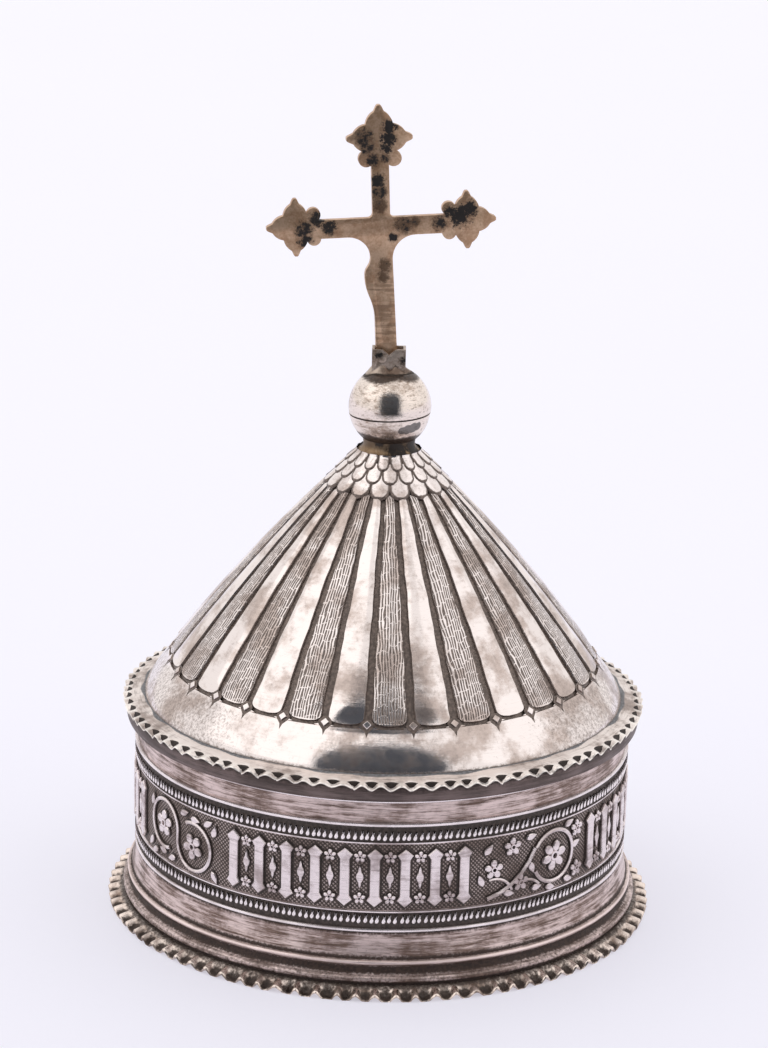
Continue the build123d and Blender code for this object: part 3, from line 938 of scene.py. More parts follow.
@dataclass
class Frieze:
    """Raised ornament round the drum: posts, lozenges and roses between scrolls."""

    radius: float = 49.1
    middle: float = 23.2
    relief: float = 0.75
    panels: int = 4
    first_scroll: float = -52.5
    posts: int = 9
    post_pitch: float = 60.0 / 9
    post_half: float = 0.95

    def post(self) -> bpy.types.Object:
        """An upright post, pointed above and below."""
        half = self.post_half
        side = [(1.5, -4.6), (half, -3.7), (half, 3.7), (1.5, 4.6)]
        points = [(0.0, -5.9), *side, (0.0, 5.9), *mirrored(side)]
        return FlatWork.relief("post", points, self.relief)

    def lozenge(self, width: float, height: float) -> bpy.types.Object:
        """An upright lozenge with hollow sides."""
        points = []
        for index in range(16):
            angle = TURN * index / 16
            reach = 0.62 + 0.38 * abs(math.cos(2 * angle)) ** 2
            points.append((width * reach * math.cos(angle), height * reach * math.sin(angle)))
        return FlatWork.relief("lozenge", points, self.relief * 0.7, margin=0.2)

    def flower(self, size: float, petals: int) -> bpy.types.Object:
        """A flower with separate round petals about a ring.

        Args:
            size: Radius over the petals.
            petals: Number of petals.

        Returns:
            The flower, lying flat.
        """
        wide = 0.56 * size * math.sin(math.pi / petals)
        angles = np.linspace(0, TURN, 11)[:-1]
        petal = [(0.62 * size + 0.38 * size * math.cos(a), wide * math.sin(a)) for a in angles]
        model = FlatWork.relief("petal", petal, self.relief * 0.85, margin=0.22)
        pieces = []
        for index in range(petals):
            pieces.append(FlatWork.placed(Bench.copy(model, np.copy), 0, 0, 360.0 * (index + 0.25) / petals))
        Bench.drop(model)
        eye = [(0.34 * size * math.cos(a), 0.34 * size * math.sin(a)) for a in angles]
        ring = FlatWork.open_up(FlatWork.outline("eye", eye), 0.16 * size)
        pieces.append(FlatWork.raised(ring, self.relief, 0.05))
        return Bench.join("flower", pieces)

    def leaf(self, length: float, width: float) -> bpy.types.Object:
        """A pointed leaf along +X from its stalk."""
        upper = [(length * t, 0.5 * width * math.sin(math.pi * t ** 0.75)) for t in np.linspace(0, 1, 8)]
        points = [(x, -y) for x, y in upper] + upper[-2:0:-1]
        return FlatWork.relief("leaf", points, self.relief * 0.75, margin=0.25)

    def stem(
        self, centre: Point, radius: float, start: float, sweep: float, width: float = 0.8
    ) -> bpy.types.Object:
        """A curved stem on its dark ground, spun from its cross-section about its centre.

        Args:
            centre: Centre of the curve.
            radius: Radius of the curve.
            start: First angle in degrees.
            sweep: Angle that it runs through, anticlockwise if positive.
            width: Width of the stem.

        Returns:
            The stem, lying flat.
        """
        pieces = []
        for half, low, tall in ((width / 2, 0.3, 0.36), (width / 2 + 0.3, 0.02, 0.04)):
            Bench.clear()
            bpy.ops.mesh.primitive_circle_add(vertices=6, radius=MM, fill_type="NGON")
            piece = bpy.context.object
            ring = Bench.points(piece)
            angle = np.arctan2(ring[:, 1], ring[:, 0])
            reach = radius + half * np.cos(angle)
            first = math.radians(start)
            x, y = centre[0] + reach * math.cos(first), centre[1] + reach * math.sin(first)
            Bench.put(piece, np.column_stack((x, y, low + tall * np.sin(angle))))
            bpy.ops.object.mode_set(mode="EDIT")
            bpy.ops.mesh.select_all(action="SELECT")
            bpy.ops.mesh.spin(
                steps=max(4, int(abs(sweep) / 10)), angle=-math.radians(sweep),
                center=(centre[0] * MM, centre[1] * MM, 0), axis=(0, 0, 1),
            )
            bpy.ops.mesh.select_all(action="SELECT")
            bpy.ops.mesh.normals_make_consistent(inside=False)
            bpy.ops.object.mode_set(mode="OBJECT")
            pieces.append(piece)
        return Bench.join("stem", pieces)

    def double_scroll(self) -> bpy.types.Object:
        """A stem that curls twice round a flower, with leaves in the corners."""
        work = [
            self.stem((-4.85, 0.9), 4.9, -10.5, 305),
            self.stem((4.85, -0.9), 4.9, 169.5, 305),
            FlatWork.placed(self.flower(2.7, 5), -4.85, 0.9),
            FlatWork.placed(self.flower(2.7, 5), 4.85, -0.9, 30),
        ]
        leaves = ((-10.2, 3.0, 80), (-10.0, -3.6, 240), (-7.6, -5.6, 200), (1.0, 4.9, 20), (4.2, 4.9, -5))
        leaves += ((8.0, 4.4, 30), (10.4, 2.6, 75), (10.2, -4.4, -60), (-0.8, -5.0, 200), (-4.0, -5.0, 175))
        work += [FlatWork.placed(self.leaf(2.6, 1.3), *leaf) for leaf in leaves]
        return Bench.join("double_scroll", work)

    def branch(self) -> bpy.types.Object:
        """A branch that rises, curls over a large flower and carries small ones."""
        work = [
            self.stem((-14.0, 9.0), 15.0, -78, 54, 0.9),
            self.stem((4.6, 0.2), 5.2, 150, -305, 0.85),
            self.stem((-9.5, -6.0), 4.2, 20, 85, 0.6),
            self.stem((-2.4, -7.4), 4.2, 40, 80, 0.6),
            FlatWork.placed(self.flower(3.1, 6), 4.6, 0.2),
            FlatWork.placed(self.flower(2.0, 5), -9.6, 0.2),
            FlatWork.placed(self.flower(1.9, 5), -5.6, 4.2),
            FlatWork.placed(self.flower(1.8, 5), -3.6, -3.4),
            FlatWork.placed(self.flower(1.7, 5), 11.0, 4.2),
            FlatWork.placed(self.flower(1.7, 5), 11.2, -4.2),
        ]
        leaves = ((-11.6, 3.4, 50), (-11.8, -3.0, 110), (-7.4, -5.0, -10), (-2.6, 5.2, 10), (-1.4, 0.2, -70))
        leaves += ((-1.0, -5.4, 5), (2.6, -5.9, -10), (9.6, 0.6, 20), (7.4, 5.4, 20), (7.6, -5.4, -15))
        work += [FlatWork.placed(self.leaf(2.6, 1.35), *leaf) for leaf in leaves]
        return Bench.join("branch", work)

    def build(self, finish: bpy.types.Material) -> None:
        """Sets the panels round the drum and joins them.

        Args:
            finish: Silver of the relief.
        """
        post, scrolls = self.post(), (self.double_scroll(), self.branch())
        gem, rose = self.lozenge(0.75, 2.3), self.flower(1.2, 5)
        pieces = []
        period = 360.0 / self.panels
        for panel in range(self.panels):
            turn = self.first_scroll + panel * period
            pieces.append(Bench.copy(scrolls[panel % 2], on_drum(self.radius, turn, self.middle)))
            start = turn + (period - (self.posts - 1) * self.post_pitch) / 2
            for index in range(self.posts):
                spot = start + index * self.post_pitch
                pieces.append(Bench.copy(post, on_drum(self.radius, spot, self.middle)))
            for index in range(self.posts - 1):
                spot = start + (index + 0.5) * self.post_pitch
                pieces.append(Bench.copy(gem, on_drum(self.radius, spot, self.middle)))
                for rise in (-4.2, 4.2):
                    pieces.append(Bench.copy(rose, on_drum(self.radius, spot, self.middle + rise)))
        for model in (post, *scrolls, gem, rose):
            Bench.drop(model)
        piece = Bench.join("frieze_relief", pieces)
        rise = reach_of(Bench.points(piece)) - self.radius
        Bench.carry(piece, "grime_and_shade", 1 - smooth(rise, 0.08, 0.4))
        Bench.dress(piece, finish, Body.BOX, Metal.SILVER, angle=30.0)


@dataclass
class Lid:
    """The lid: plain band, crimped flange, gored cone, scales and points."""

    band_radius: float = 51.4
    band_bottom: float = 39.2
    band_top: float = 43.0
    bore: float = 48.45
    rim_radius: float = 52.2
    flange_top: float = 43.6
    ledge_radius: float = 46.55
    base_radius: float = 47.75
    shoulder_top: float = 50.0
    shoulder_radius: float = 43.55
    apex: float = 93.5
    apex_radius: float = 6.1
    swell: float = 1.65
    gores: int = 32
    gore_bottom: float = 51.3
    gore_turn: float = 1.98
    round_length: float = 1.6
    outline: float = 0.75
    groove_depth: float = 0.5
    wall: float = 1.05
    steps: int = 240
    slope: float = 0.758
    tilt: float = 0.65
    shoulder_power: float = 1.3
    round_power: float = 2.6
    crown: float = 0.24
    lanes: int = 16
    scales_from: float = 87.5
    hatch_top: float = 87.2
    scale_count: int = 18

    def meridian(self, height: np.ndarray) -> np.ndarray:
        """Radius of the cone's outside at a height."""
        roll = np.clip((height - self.flange_top) / (self.shoulder_top - self.flange_top), 0, 1)
        shoulder = self.base_radius - (self.base_radius - self.shoulder_radius) * roll ** self.shoulder_power
        rise = np.clip((height - self.shoulder_top) / (self.apex - self.shoulder_top), 0, 1)
        cone = self.shoulder_radius + (self.apex_radius - self.shoulder_radius) * rise
        cone = cone + 4 * self.swell * rise * (1 - rise)
        return np.where(height < self.shoulder_top, shoulder, cone)

    def band(self, finish: bpy.types.Material) -> None:
        """The plain ring that sits on the mouth."""
        r, low, high = self.band_radius, self.band_bottom, self.band_top
        profile = [(self.bore, low), (r - 0.5, low), (r - 0.12, low + 0.2), (r, low + 0.8)]
        profile += [(r - 0.05, high - 0.5), (r - 0.3, high), (self.bore, high), (self.bore, low)]
        piece = Bench.spin("lid_band", profile, self.steps)
        rise = Bench.points(piece)[:, 2]
        # Painted shadow under the flange at the band's top, painted shade along its bottom and a painted
        # highlight on its lower rounded edge.
        above, below = smooth(rise, high - 1.1, high - 0.1), 1 - smooth(rise, low, low + 0.3)
        Bench.carry(piece, "grime_and_shade", np.maximum(above, 0.6 * below))
        Bench.carry(piece, "wear_and_highlight", 0.4 * bell(rise, low + 0.6, 0.3))
        Bench.dress(piece, finish, Body.LID, Metal.SILVER, ["lid_ring"])

    def flange(self, finish: bpy.types.Material) -> None:
        """The sheet flange with its crimped edge."""
        rim = CrimpedRim(
            self.rim_radius - 0.15, crimp_length=2.3, drop=0.85, scooped=True,
            inner_power=3.6, edge_power=2.2, hollow_dirt=0.42, seed=5,
        )
        sheet, fall, ledge, top = 0.34, 0.7, self.ledge_radius, self.flange_top
        outward = np.linspace(self.base_radius - 0.2, rim.rim_radius - 0.12, 20)
        upper = [(r, top - fall * (r - outward[0]) / (outward[-1] - outward[0])) for r in outward]
        lower = [(r, z - sheet) for r, z in upper[::-1]]
        profile = [(ledge, top), *upper, (rim.rim_radius, top - fall - sheet / 2), *lower]
        profile += [(ledge, top - sheet), (ledge, top)]
        piece = Bench.spin("lid_flange_sheet", profile, rim.count * rim.columns)
        flat = Bench.points(piece)
        strayed = reach_of(flat) + uneven(turn_of(flat), 0.5, 21)
        slope = fall / (outward[-1] - outward[0])
        rim.press(piece, lambda r, z: z > top - slope * (r - outward[0]) - sheet / 2)
        grime_and_shade = np.empty(len(flat), np.float32)
        piece.data.attributes["grime_and_shade"].data.foreach_get("value", grime_and_shade)
        seam = 1 - smooth(strayed, self.base_radius + 0.2, self.base_radius + 0.95)
        Bench.carry(piece, "grime_and_shade", np.maximum(grime_and_shade, 0.9 * seam))
        Bench.dress(piece, finish, Body.LID, Metal.SILVER, ["lid_flange"])

    def columns(
        self, height: np.ndarray, column: np.ndarray, wander: np.ndarray
    ) -> tuple[np.ndarray, np.ndarray, np.ndarray]:
        """Where the columns of one gore lie across it, at each height.

        Args:
            height: Heights of the vertices.
            column: Column numbers, 0 at the gore's middle to 8 at the groove's.
            wander: How far the cut edge strays.

        Returns:
            Distance from the gore's middle, depth under the outline and grime.
        """
        half = math.pi * self.meridian(height) / self.gores
        share = np.clip((height - self.gore_bottom) / (self.apex - self.gore_bottom), 0, 1)
        full = half - (0.86 - 0.4 * share) + wander
        run = (height - self.gore_bottom) / self.slope
        power = self.round_power
        ended = np.clip(1 - run / self.round_length, 0, 1)
        top = full * np.clip(1 - ended ** power, 0.0, 1) ** (1 / power) * (run > 0)
        margin = np.clip(1 - (run + self.outline) / (self.round_length + self.outline), 0, 1)
        rounded = np.clip(1 - margin ** power, 0, 1) ** (1 / power)
        dark = (full + self.outline) * rounded * (run > -self.outline)
        grooved = dark >= half - 0.45
        dark = np.maximum(np.minimum(dark, half - 0.3), top + 0.24)
        lanes = [0 * top, 0.5 * top, 0.86 * top, top, top + 0.2, (top + 0.2 + dark) / 2, dark]
        lanes += [np.minimum(dark + 0.2, half - 0.05), half]
        even = run < -self.outline - 0.05
        across = np.choose(column, [np.where(even, half * k / 8, lane) for k, lane in enumerate(lanes)])
        floor = (column >= 4) & (column <= 6) | (column >= 7) & grooved
        inside = (run > -self.outline) & ~even
        depth = np.where(floor & inside, self.groove_depth, 0.0)
        crown = self.crown * smooth(run, 0.0, 4.0) * (1 - (across / np.maximum(full, 0.1)) ** 2)
        depth = np.where((column <= 3) & (run > 0), -crown, depth)
        depth = np.where((column <= 3) & (run <= 0) & inside, self.groove_depth, depth)
        grime_and_shade = np.where(depth > 0.2, 1.0, np.where((column == 3) & (run > 0), 0.3, 0.0))
        return across, depth, grime_and_shade

    def cone(self, finish: bpy.types.Material) -> None:
        """The raised cone: shoulder, round-ended gores, grooves and a plain inside."""
        zones = ((self.flange_top, 50.0, 15), (50.2, 54.2, 26), (54.9, 87.0, 34), (88.0, self.apex, 6))
        rows = [height for zone in zones for height in np.linspace(*zone)]
        outer = [(float(self.meridian(np.array(z))), float(z)) for z in rows]
        under = np.linspace(self.apex - self.wall, self.flange_top, 14)
        inner = [(float(self.meridian(np.array(z + 0.7))) - self.wall, float(z)) for z in under]
        profile = [*outer, (0.0, self.apex), (0.0, self.apex - self.wall), *inner, outer[0]]
        lanes = self.lanes
        piece = Bench.spin("lid_cone_sheet", profile, self.gores * lanes)
        places = Bench.points(piece)
        reach, z = reach_of(places), places[:, 2]
        outside = np.abs(reach - self.meridian(z)) < 0.02
        turn = np.mod(turn_of(places), TURN)
        slot = np.rint(turn / TURN * self.gores * lanes).astype(int) % (self.gores * lanes)
        gore = (slot + lanes // 2) // lanes
        signed = slot - gore * lanes
        side = np.sign(signed)
        strays = ((0.5, 2.3, 0.07), (1.25, 4.1, 0.05), (2.6, 1.7, 0.03))
        wander = sum(m * np.sin(f * z + p * gore + 2.0 * side) for f, p, m in strays)
        across, depth, grime_and_shade = self.columns(z, np.abs(signed), wander)
        angle = gore * TURN / self.gores + side * across / np.maximum(reach, 1.0)
        angle = angle + math.radians(self.gore_turn)
        angle += uneven(angle, 0.004, 31) * smooth(z, 50.5, 53)
        tip = smooth(z, self.scales_from - 1.5, self.scales_from + 0.5)
        depth = np.where(z > self.scales_from, self.groove_depth, depth)
        normal = np.where(z > self.shoulder_top, self.slope, 0.9)
        shaped = ring_places(reach - depth * normal, angle, z - depth * np.sqrt(1 - normal ** 2))
        Bench.put(piece, np.where(outside[:, None], shaped, places))
        below = 1 - smooth(z, self.shoulder_top, self.gore_bottom)
        # Painted shade on the shoulder towards the sides, away from the front.
        side_shade = 0.4 * below * smooth(np.abs(turn_of(places)), 0.3, 0.9)
        foot = 0.6 * (1 - smooth(z, self.flange_top, self.flange_top + 0.9))
        dirt_and_shade = np.maximum.reduce([grime_and_shade, 0.6 * tip, side_shade, foot])
        Bench.carry(piece, "grime_and_shade", np.where(outside, dirt_and_shade, 0.25))
        Bench.carry(piece, "across", side * across)
        Bench.carry(piece, "along", z / self.slope)
        hatched = (gore % 2 == 0) & outside & (np.abs(signed) <= 3)
        hatched &= (z > self.gore_bottom + 0.3) & (z < self.hatch_top)
        Bench.carry(piece, "hatch", hatched.astype(float))
        Bench.dress(piece, finish, Body.LID, Metal.SILVER, ["lid_cone"], angle=30.0)

    def on_cone(self, turn: float, height: float, lift: float) -> Callable[[np.ndarray], np.ndarray]:
        """Lays flat work on the cone.

        Args:
            turn: Angle from the front, in degrees.
            height: Height of the work's origin.
            lift: Distance of the work's underside off the cone.

        Returns:
            A shape for Bench.copy: X runs round, Y up the cone and Z outwards.
        """
        def lay(flat: np.ndarray) -> np.ndarray:
            """Places on the cone."""
            z = height + flat[:, 1] * self.slope
            out = flat[:, 2] + lift
            reach = self.meridian(z)
            angle = math.radians(turn) + flat[:, 0] / reach
            reach = reach + out * self.slope
            return ring_places(reach, angle, z + out * self.tilt)

        return lay

    def gore_points(self, finish: bpy.types.Material) -> None:
        """The lozenge with a spike under each groove, in its dark outline."""
        side = [(0.3, -1.5), (1.15, -0.55), (1.45, 0.15), (1.1, 0.75), (0.6, 1.25)]
        shield = [(0.0, -2.6), *side, *mirrored(side)]
        facet = [(0.42, -0.35), (0.82, 0.08), (0.42, 0.5)]
        gem = [(0.0, -0.85), *facet, (0.0, 0.9), *mirrored(facet)]
        dark = FlatWork.outline("point_ground", shield)
        Bench.carry(dark, "grime_and_shade", np.ones(len(shield)))
        bright = FlatWork.raised(FlatWork.outline("point_gem", gem), 0.28, 0.1)
        jitter = np.random.default_rng(41)
        pieces = []
        for index in range(self.gores):
            turn = self.gore_turn + (index + 0.5) * 360.0 / self.gores + jitter.uniform(-0.25, 0.25)
            height = self.gore_bottom - 0.15 + jitter.uniform(-0.12, 0.12)
            pieces.append(Bench.copy(dark, self.on_cone(turn, height, 0.03)))
            pieces.append(Bench.copy(bright, self.on_cone(turn, height, 0.02)))
        Bench.drop(dark)
        Bench.drop(bright)
        Bench.dress(Bench.join("gore_points", pieces), finish, Body.LID, Metal.SILVER, angle=30.0)

    def scale(self, width: float, length: float, dome: float) -> bpy.types.Object:
        """One round-ended scale, domed, with its tip at the origin.

        Args:
            width: Its width.
            length: Its length up the cone.
            dome: Height of its middle.

        Returns:
            The scale, lying flat.
        """
        Bench.clear()
        bpy.ops.mesh.primitive_grid_add(x_subdivisions=12, y_subdivisions=12, size=2 * MM)
        piece = bpy.context.object
        flat = Bench.points(piece)
        up = (flat[:, 1] + 1) / 2 * length
        end = width / 2
        below = np.clip(end - up, 0, None)
        half = np.sqrt(np.clip(end ** 2 - below ** 2, 0.02, None))
        across = np.sign(flat[:, 0]) * np.abs(flat[:, 0]) ** 0.75 * half
        inward = end - np.hypot(across, below)
        lift = dome * smooth(inward, 0.0, 0.32) + 0.12 * smooth(inward, 0.2, end) - 0.3 * up / length
        Bench.put(piece, np.column_stack((across, up, lift)))
        Bench.carry(piece, "grime_and_shade", np.maximum(0.27, 1 - smooth(inward, 0.3, 0.8)))
        return piece

    def scales(self, finish: bpy.types.Material) -> None:
        """Three staggered rows of scales under the tip."""
        rows = ((86.7, 4.2, 5.2, 0.0), (89.0, 3.45, 4.5, 0.5), (91.1, 2.7, 3.6, 0.0))
        pieces = []
        count = self.scale_count
        for level, (height, width, length, stagger) in enumerate(rows):
            model = self.scale(width, length, 0.42)
            for index in range(count):
                turn = self.gore_turn + (index + stagger + 0.5) * 360.0 / count
                pieces.append(Bench.copy(model, self.on_cone(turn, height, -0.05 + 0.12 * level)))
            Bench.drop(model)
        Bench.dress(Bench.join("tip_scales", pieces), finish, Body.LID, Metal.SILVER, angle=60.0)


@dataclass
class Finial:
    """Neck, ball in two halves, socket, cross and pin."""

    apex: float = 93.5
    neck_top: float = 96.1
    ball_centre: float = 102.36
    ball_radius: float = 8.14
    seam: float = 101.06
    seat: float = 109.33
    bore: float = 1.5
    foot_dirt: Point = (96.9, 98.7)
    crown_dirt: Point = (107.4, 109.2)
    steps: int = 128

    def neck(self, finish: bpy.types.Material) -> None:
        """The short collar between the cone's tip and the ball."""
        bore, low, high = self.bore, self.apex, self.neck_top
        profile = [(bore, low), (6.35, low), (6.2, low + 0.2), (5.75, low + 0.5), (5.35, low + 0.9)]
        profile += [(5.05, low + 1.6), (5.2, high), (bore, high), (bore, low)]
        piece = Bench.spin("neck_collar", profile, self.steps)
        Bench.carry(piece, "grime_and_shade", 0.55 * smooth(Bench.points(piece)[:, 2], low + 0.8, low + 1.8))
        Bench.dress(piece, finish, Body.LID, Metal.SILVER, ["neck_ring"])

    def ball(self, finish: bpy.types.Material) -> None:
        """The two halves, with a fine step at their seam."""
        r, c, bore = self.ball_radius, self.ball_centre, self.bore
        low = math.degrees(math.asin((self.neck_top - c) / r))
        seam = math.degrees(math.asin((self.seam - c) / r))
        high = math.degrees(math.asin((self.seat - c) / r))
        edge = (r - 0.3) * math.cos(math.radians(seam))
        lower = [(bore, self.neck_top), *arc((0, c), r, low, seam - 1.2, 22)]
        lower += [(edge, self.seam - 0.03), (bore, self.seam - 0.03), (bore, self.neck_top)]
        upper = [(bore, self.seam), (edge, self.seam), *arc((0, c), r, seam + 0.9, high, 40)]
        upper += [(bore, self.seat), (bore, self.seam)]
        for name, node, profile in (("ball_lower", "knop_lower", lower), ("ball_upper", "knop_upper", upper)):
            piece = Bench.spin(name, profile, self.steps)
            places = Bench.points(piece)
            turn, z = turn_of(places), places[:, 2].copy()
            foot = 0.9 * (1 - smooth(z + uneven(turn, 0.3, 51, (2, 3, 5)), *self.foot_dirt))
            crown = 0.9 * smooth(z + uneven(turn, 0.3, 52, (2, 3, 5)), *self.crown_dirt)
            Bench.carry(piece, "grime_and_shade", np.clip(bell(z, self.seam, 0.16) + foot + crown, 0, 1))
            close = bell(z, self.seam, 1.6) * (reach_of(places) > 3.0)
            places[:, 2] += close * (0.3 + 0.035 * places[:, 0])
            Bench.put(piece, places)
            Bench.dress(piece, finish, Body.LID, Metal.SILVER, [node], angle=50.0)

    def solder(self, finish: bpy.types.Material) -> None:
        """The lumpy solder that climbs from the ball's crown to the socket."""
        profile = [(1.6, 109.0), (5.0, 108.55), (4.6, 109.1), (4.0, 109.7), (3.4, 110.2)]
        profile += [(2.9, 110.7), (1.6, 110.7), (1.6, 109.0)]
        piece = Bench.spin("solder_fillet", profile, 96)
        places = Bench.points(piece)
        turn = turn_of(places)

        def crown(x: np.ndarray, y: np.ndarray) -> np.ndarray:
            """Height of the ball's upper face."""
            left = np.sqrt(np.clip(self.ball_radius ** 2 - x ** 2 - y ** 2, 0, None))
            return np.minimum(self.ball_centre + left, self.seat)

        above = places[:, 2] - crown(places[:, 0], places[:, 1])
        above *= 1 + uneven(turn, 0.45, 61, (2, 3, 5, 7)) * (above > 0)
        places[:, 0] = 1.05 * places[:, 0] * (1 + uneven(turn, 0.08, 62, (2, 3, 5))) - 0.45
        places[:, 1] *= 0.72 + uneven(turn, 0.07, 63, (2, 3, 5))
        places[:, 2] = crown(places[:, 0], places[:, 1]) + above
        Bench.put(piece, places)
        Bench.carry(piece, "grime_and_shade", 1 - smooth(above, 0.05, 0.5))
        Bench.dress(piece, finish, Body.LID, Metal.SILVER, angle=60.0)

    def from_solid(self, name: str, node: str, bevel: float) -> bpy.types.Object:
        """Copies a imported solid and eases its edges.

        Args:
            name: The new piece's name.
            node: The solid to start from.
            bevel: Width of the eased edge.

        Returns:
            The eased copy.
        """
        Bench.clear()
        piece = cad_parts[node].copy()
        piece.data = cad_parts[node].data.copy()
        for key in list(piece.keys()):
            del piece[key]
        piece.parent = None
        piece.name = name
        bpy.context.scene.collection.objects.link(piece)
        piece.select_set(True)
        bpy.context.view_layer.objects.active = piece
        bpy.ops.object.mode_set(mode="EDIT")
        bpy.ops.mesh.select_all(action="SELECT")
        bpy.ops.mesh.remove_doubles(threshold=1e-6)
        bpy.ops.mesh.dissolve_limited(angle_limit=math.radians(1.0))
        bpy.ops.mesh.customdata_custom_splitnormals_clear()
        bpy.ops.object.mode_set(mode="OBJECT")
        ease = piece.modifiers.new("ease", "BEVEL")
        ease.width = bevel * MM
        ease.segments = 2
        ease.angle_limit = math.radians(40)
        bpy.ops.object.modifier_apply(modifier=ease.name)
        return piece

    def cross(self, cross: bpy.types.Material, sleeve: bpy.types.Material) -> None:
        """The cross, its folded socket and the pin."""
        for name, node, bevel, finish in (
            ("cross_plate", "cross", 0.16, cross),
            ("socket_sleeve", "cross_socket", 0.12, sleeve),
            ("pin_end", "cross_pin", 0.1, sleeve),
        ):
            Bench.dress(self.from_solid(name, node, bevel), finish, Body.LID, Metal.GILT, [node])


@dataclass
class Studio:
    """Pale floor, soft lights, the dark room behind the camera, and the camera."""

    camera_place: tuple[float, float, float] = (-0.613, -654.9, 275.8)
    pitch: float = 16.787
    roll: float = 1.393
    lens: float = 118.58
    opening_height: float = 1.2

    def floor(self) -> None:
        """A wide pale floor, and the dark room round the camera, which only reflections show."""
        Bench.clear()
        bpy.ops.mesh.primitive_plane_add(size=12.0, location=(0, 0, 0))
        floor = bpy.context.object
        floor.name = "floor"
        recipe = Recipe("pale_paper")
        place = recipe.place()
        tone = recipe.mix(recipe.noise(place, 0.004, 2.0), (0.45, 0.445, 0.485), (0.465, 0.46, 0.5))
        grain = recipe.noise(place, 0.5, 2.0)
        glow = (0.46, 0.455, 0.505)
        floor.data.materials.append(recipe.surface(tone, 0.7 + grain * 0.1, 0.0, grain, 0.02, glow))
        dark = Recipe("dark_room")
        cloud = dark.noise(dark.place(), 0.006, 2.0)
        shade = dark.mix(cloud, (0.045, 0.055, 0.065), (0.075, 0.085, 0.1))
        material = dark.surface(shade, 0.8 + cloud * 0.1, 0.0, cloud, 0.02)
        for name, place_m, turn, size in (
            ("dark_front", (0, -0.85, 0.0005), 0.0, (0.76, 1.1)),
            ("dark_opening", (0, -0.79, 0.3), 90.0 - self.pitch, (0.94, self.opening_height)),
        ):
            Bench.clear()
            bpy.ops.mesh.primitive_plane_add(size=1.0, location=place_m)
            card = bpy.context.object
            card.name = name
            card.rotation_euler = (math.radians(turn), 0, 0)
            bpy.ops.object.mode_set(mode="EDIT")
            bpy.ops.transform.resize(value=(*size, 1.0), orient_type="LOCAL")
            bpy.ops.mesh.bevel(offset=0.3, segments=8, affect="VERTICES")
            bpy.ops.object.mode_set(mode="OBJECT")
            card.data.materials.append(material)
            card.visible_camera = False

    def light(
        self, name: str, place: Sequence[float], size: Sequence[float], power: float, colour: Colour
    ) -> None:
        """One soft box that looks at the object.

        Args:
            name: Its name.
            place: Where it hangs, in metres.
            size: Its two sides, in metres.
            power: Its power in watts.
            colour: Its colour.
        """
        lamp = bpy.data.lights.new(name, "AREA")
        lamp.shape = "RECTANGLE"
        lamp.size, lamp.size_y = size
        lamp.energy = power
        lamp.color = colour
        holder = bpy.data.objects.new(name, lamp)
        holder.location = place
        aim = Vector((0, 0, 0.06)) - Vector(place)
        holder.rotation_euler = aim.to_track_quat("-Z", "Y").to_euler()
        bpy.context.scene.collection.objects.link(holder)

    def room(self) -> None:
        """Soft light from all round."""
        world = bpy.data.worlds.new("studio")
        world.use_nodes = True
        sky = world.node_tree.nodes["Background"]
        sky.inputs["Color"].default_value = (1.0, 0.985, 0.99, 1.0)
        sky.inputs["Strength"].default_value = 1.0
        bpy.context.scene.world = world

    def camera(self) -> None:
        """The camera at the photograph's place."""
        lens = bpy.data.cameras.new("camera")
        lens.lens = self.lens
        lens.sensor_width = 36.0
        holder = bpy.data.objects.new("camera", lens)
        pitched = Matrix.Rotation(math.radians(90 - self.pitch), 4, "X")
        rolled = Matrix.Rotation(math.radians(self.roll), 4, "Z")
        holder.matrix_world = Matrix.Translation(Vector(self.camera_place) * MM) @ (pitched @ rolled)
        lens.clip_start, lens.clip_end = 0.01, 100.0
        bpy.context.scene.collection.objects.link(holder)
        bpy.context.scene.camera = holder

    def build(self) -> None:
        """Sets up everything round the object."""
        self.floor()
        self.room()
        self.light("key", (-0.75, -0.35, 1.0), (1.4, 1.4), 1.7, (1.0, 0.98, 0.96))
        self.light("fill", (0.85, -0.2, 0.8), (1.0, 1.0), 0.5, (0.98, 0.98, 1.0))
        self.camera()


POLISHED = SilverFinish(
    "polished_silver", (0.88, 0.8, 0.765), (0.57, 0.47, 0.42), (0.115, 0.088, 0.074),
    roughness=0.1, dull_share=0.47, scratch=0.16, hammer=0.06, speckle=0.5, hatch=0.95,
)
BALL = SilverFinish(
    "ball_silver", (0.85, 0.75, 0.675), (0.42, 0.32, 0.25), (0.05, 0.033, 0.024),
    roughness=0.09, dull_share=0.47, scratch=0.7, hammer=0.03, speckle=0.4,
    spots=((2.5, -7.1, 99.35, 0.9), (3.5, -6.7, 99.5, 1.15), (4.6, -6.1, 99.7, 1.2), (5.5, -5.4, 99.9, 1.0)),
)
SOLDER = SilverFinish(
    "old_solder", (0.5, 0.41, 0.34), (0.2, 0.14, 0.105), (0.03, 0.02, 0.014),
    roughness=0.3, dull_share=0.5, scratch=0.2, hammer=0.1, speckle=0.6, metal=0.85,
)
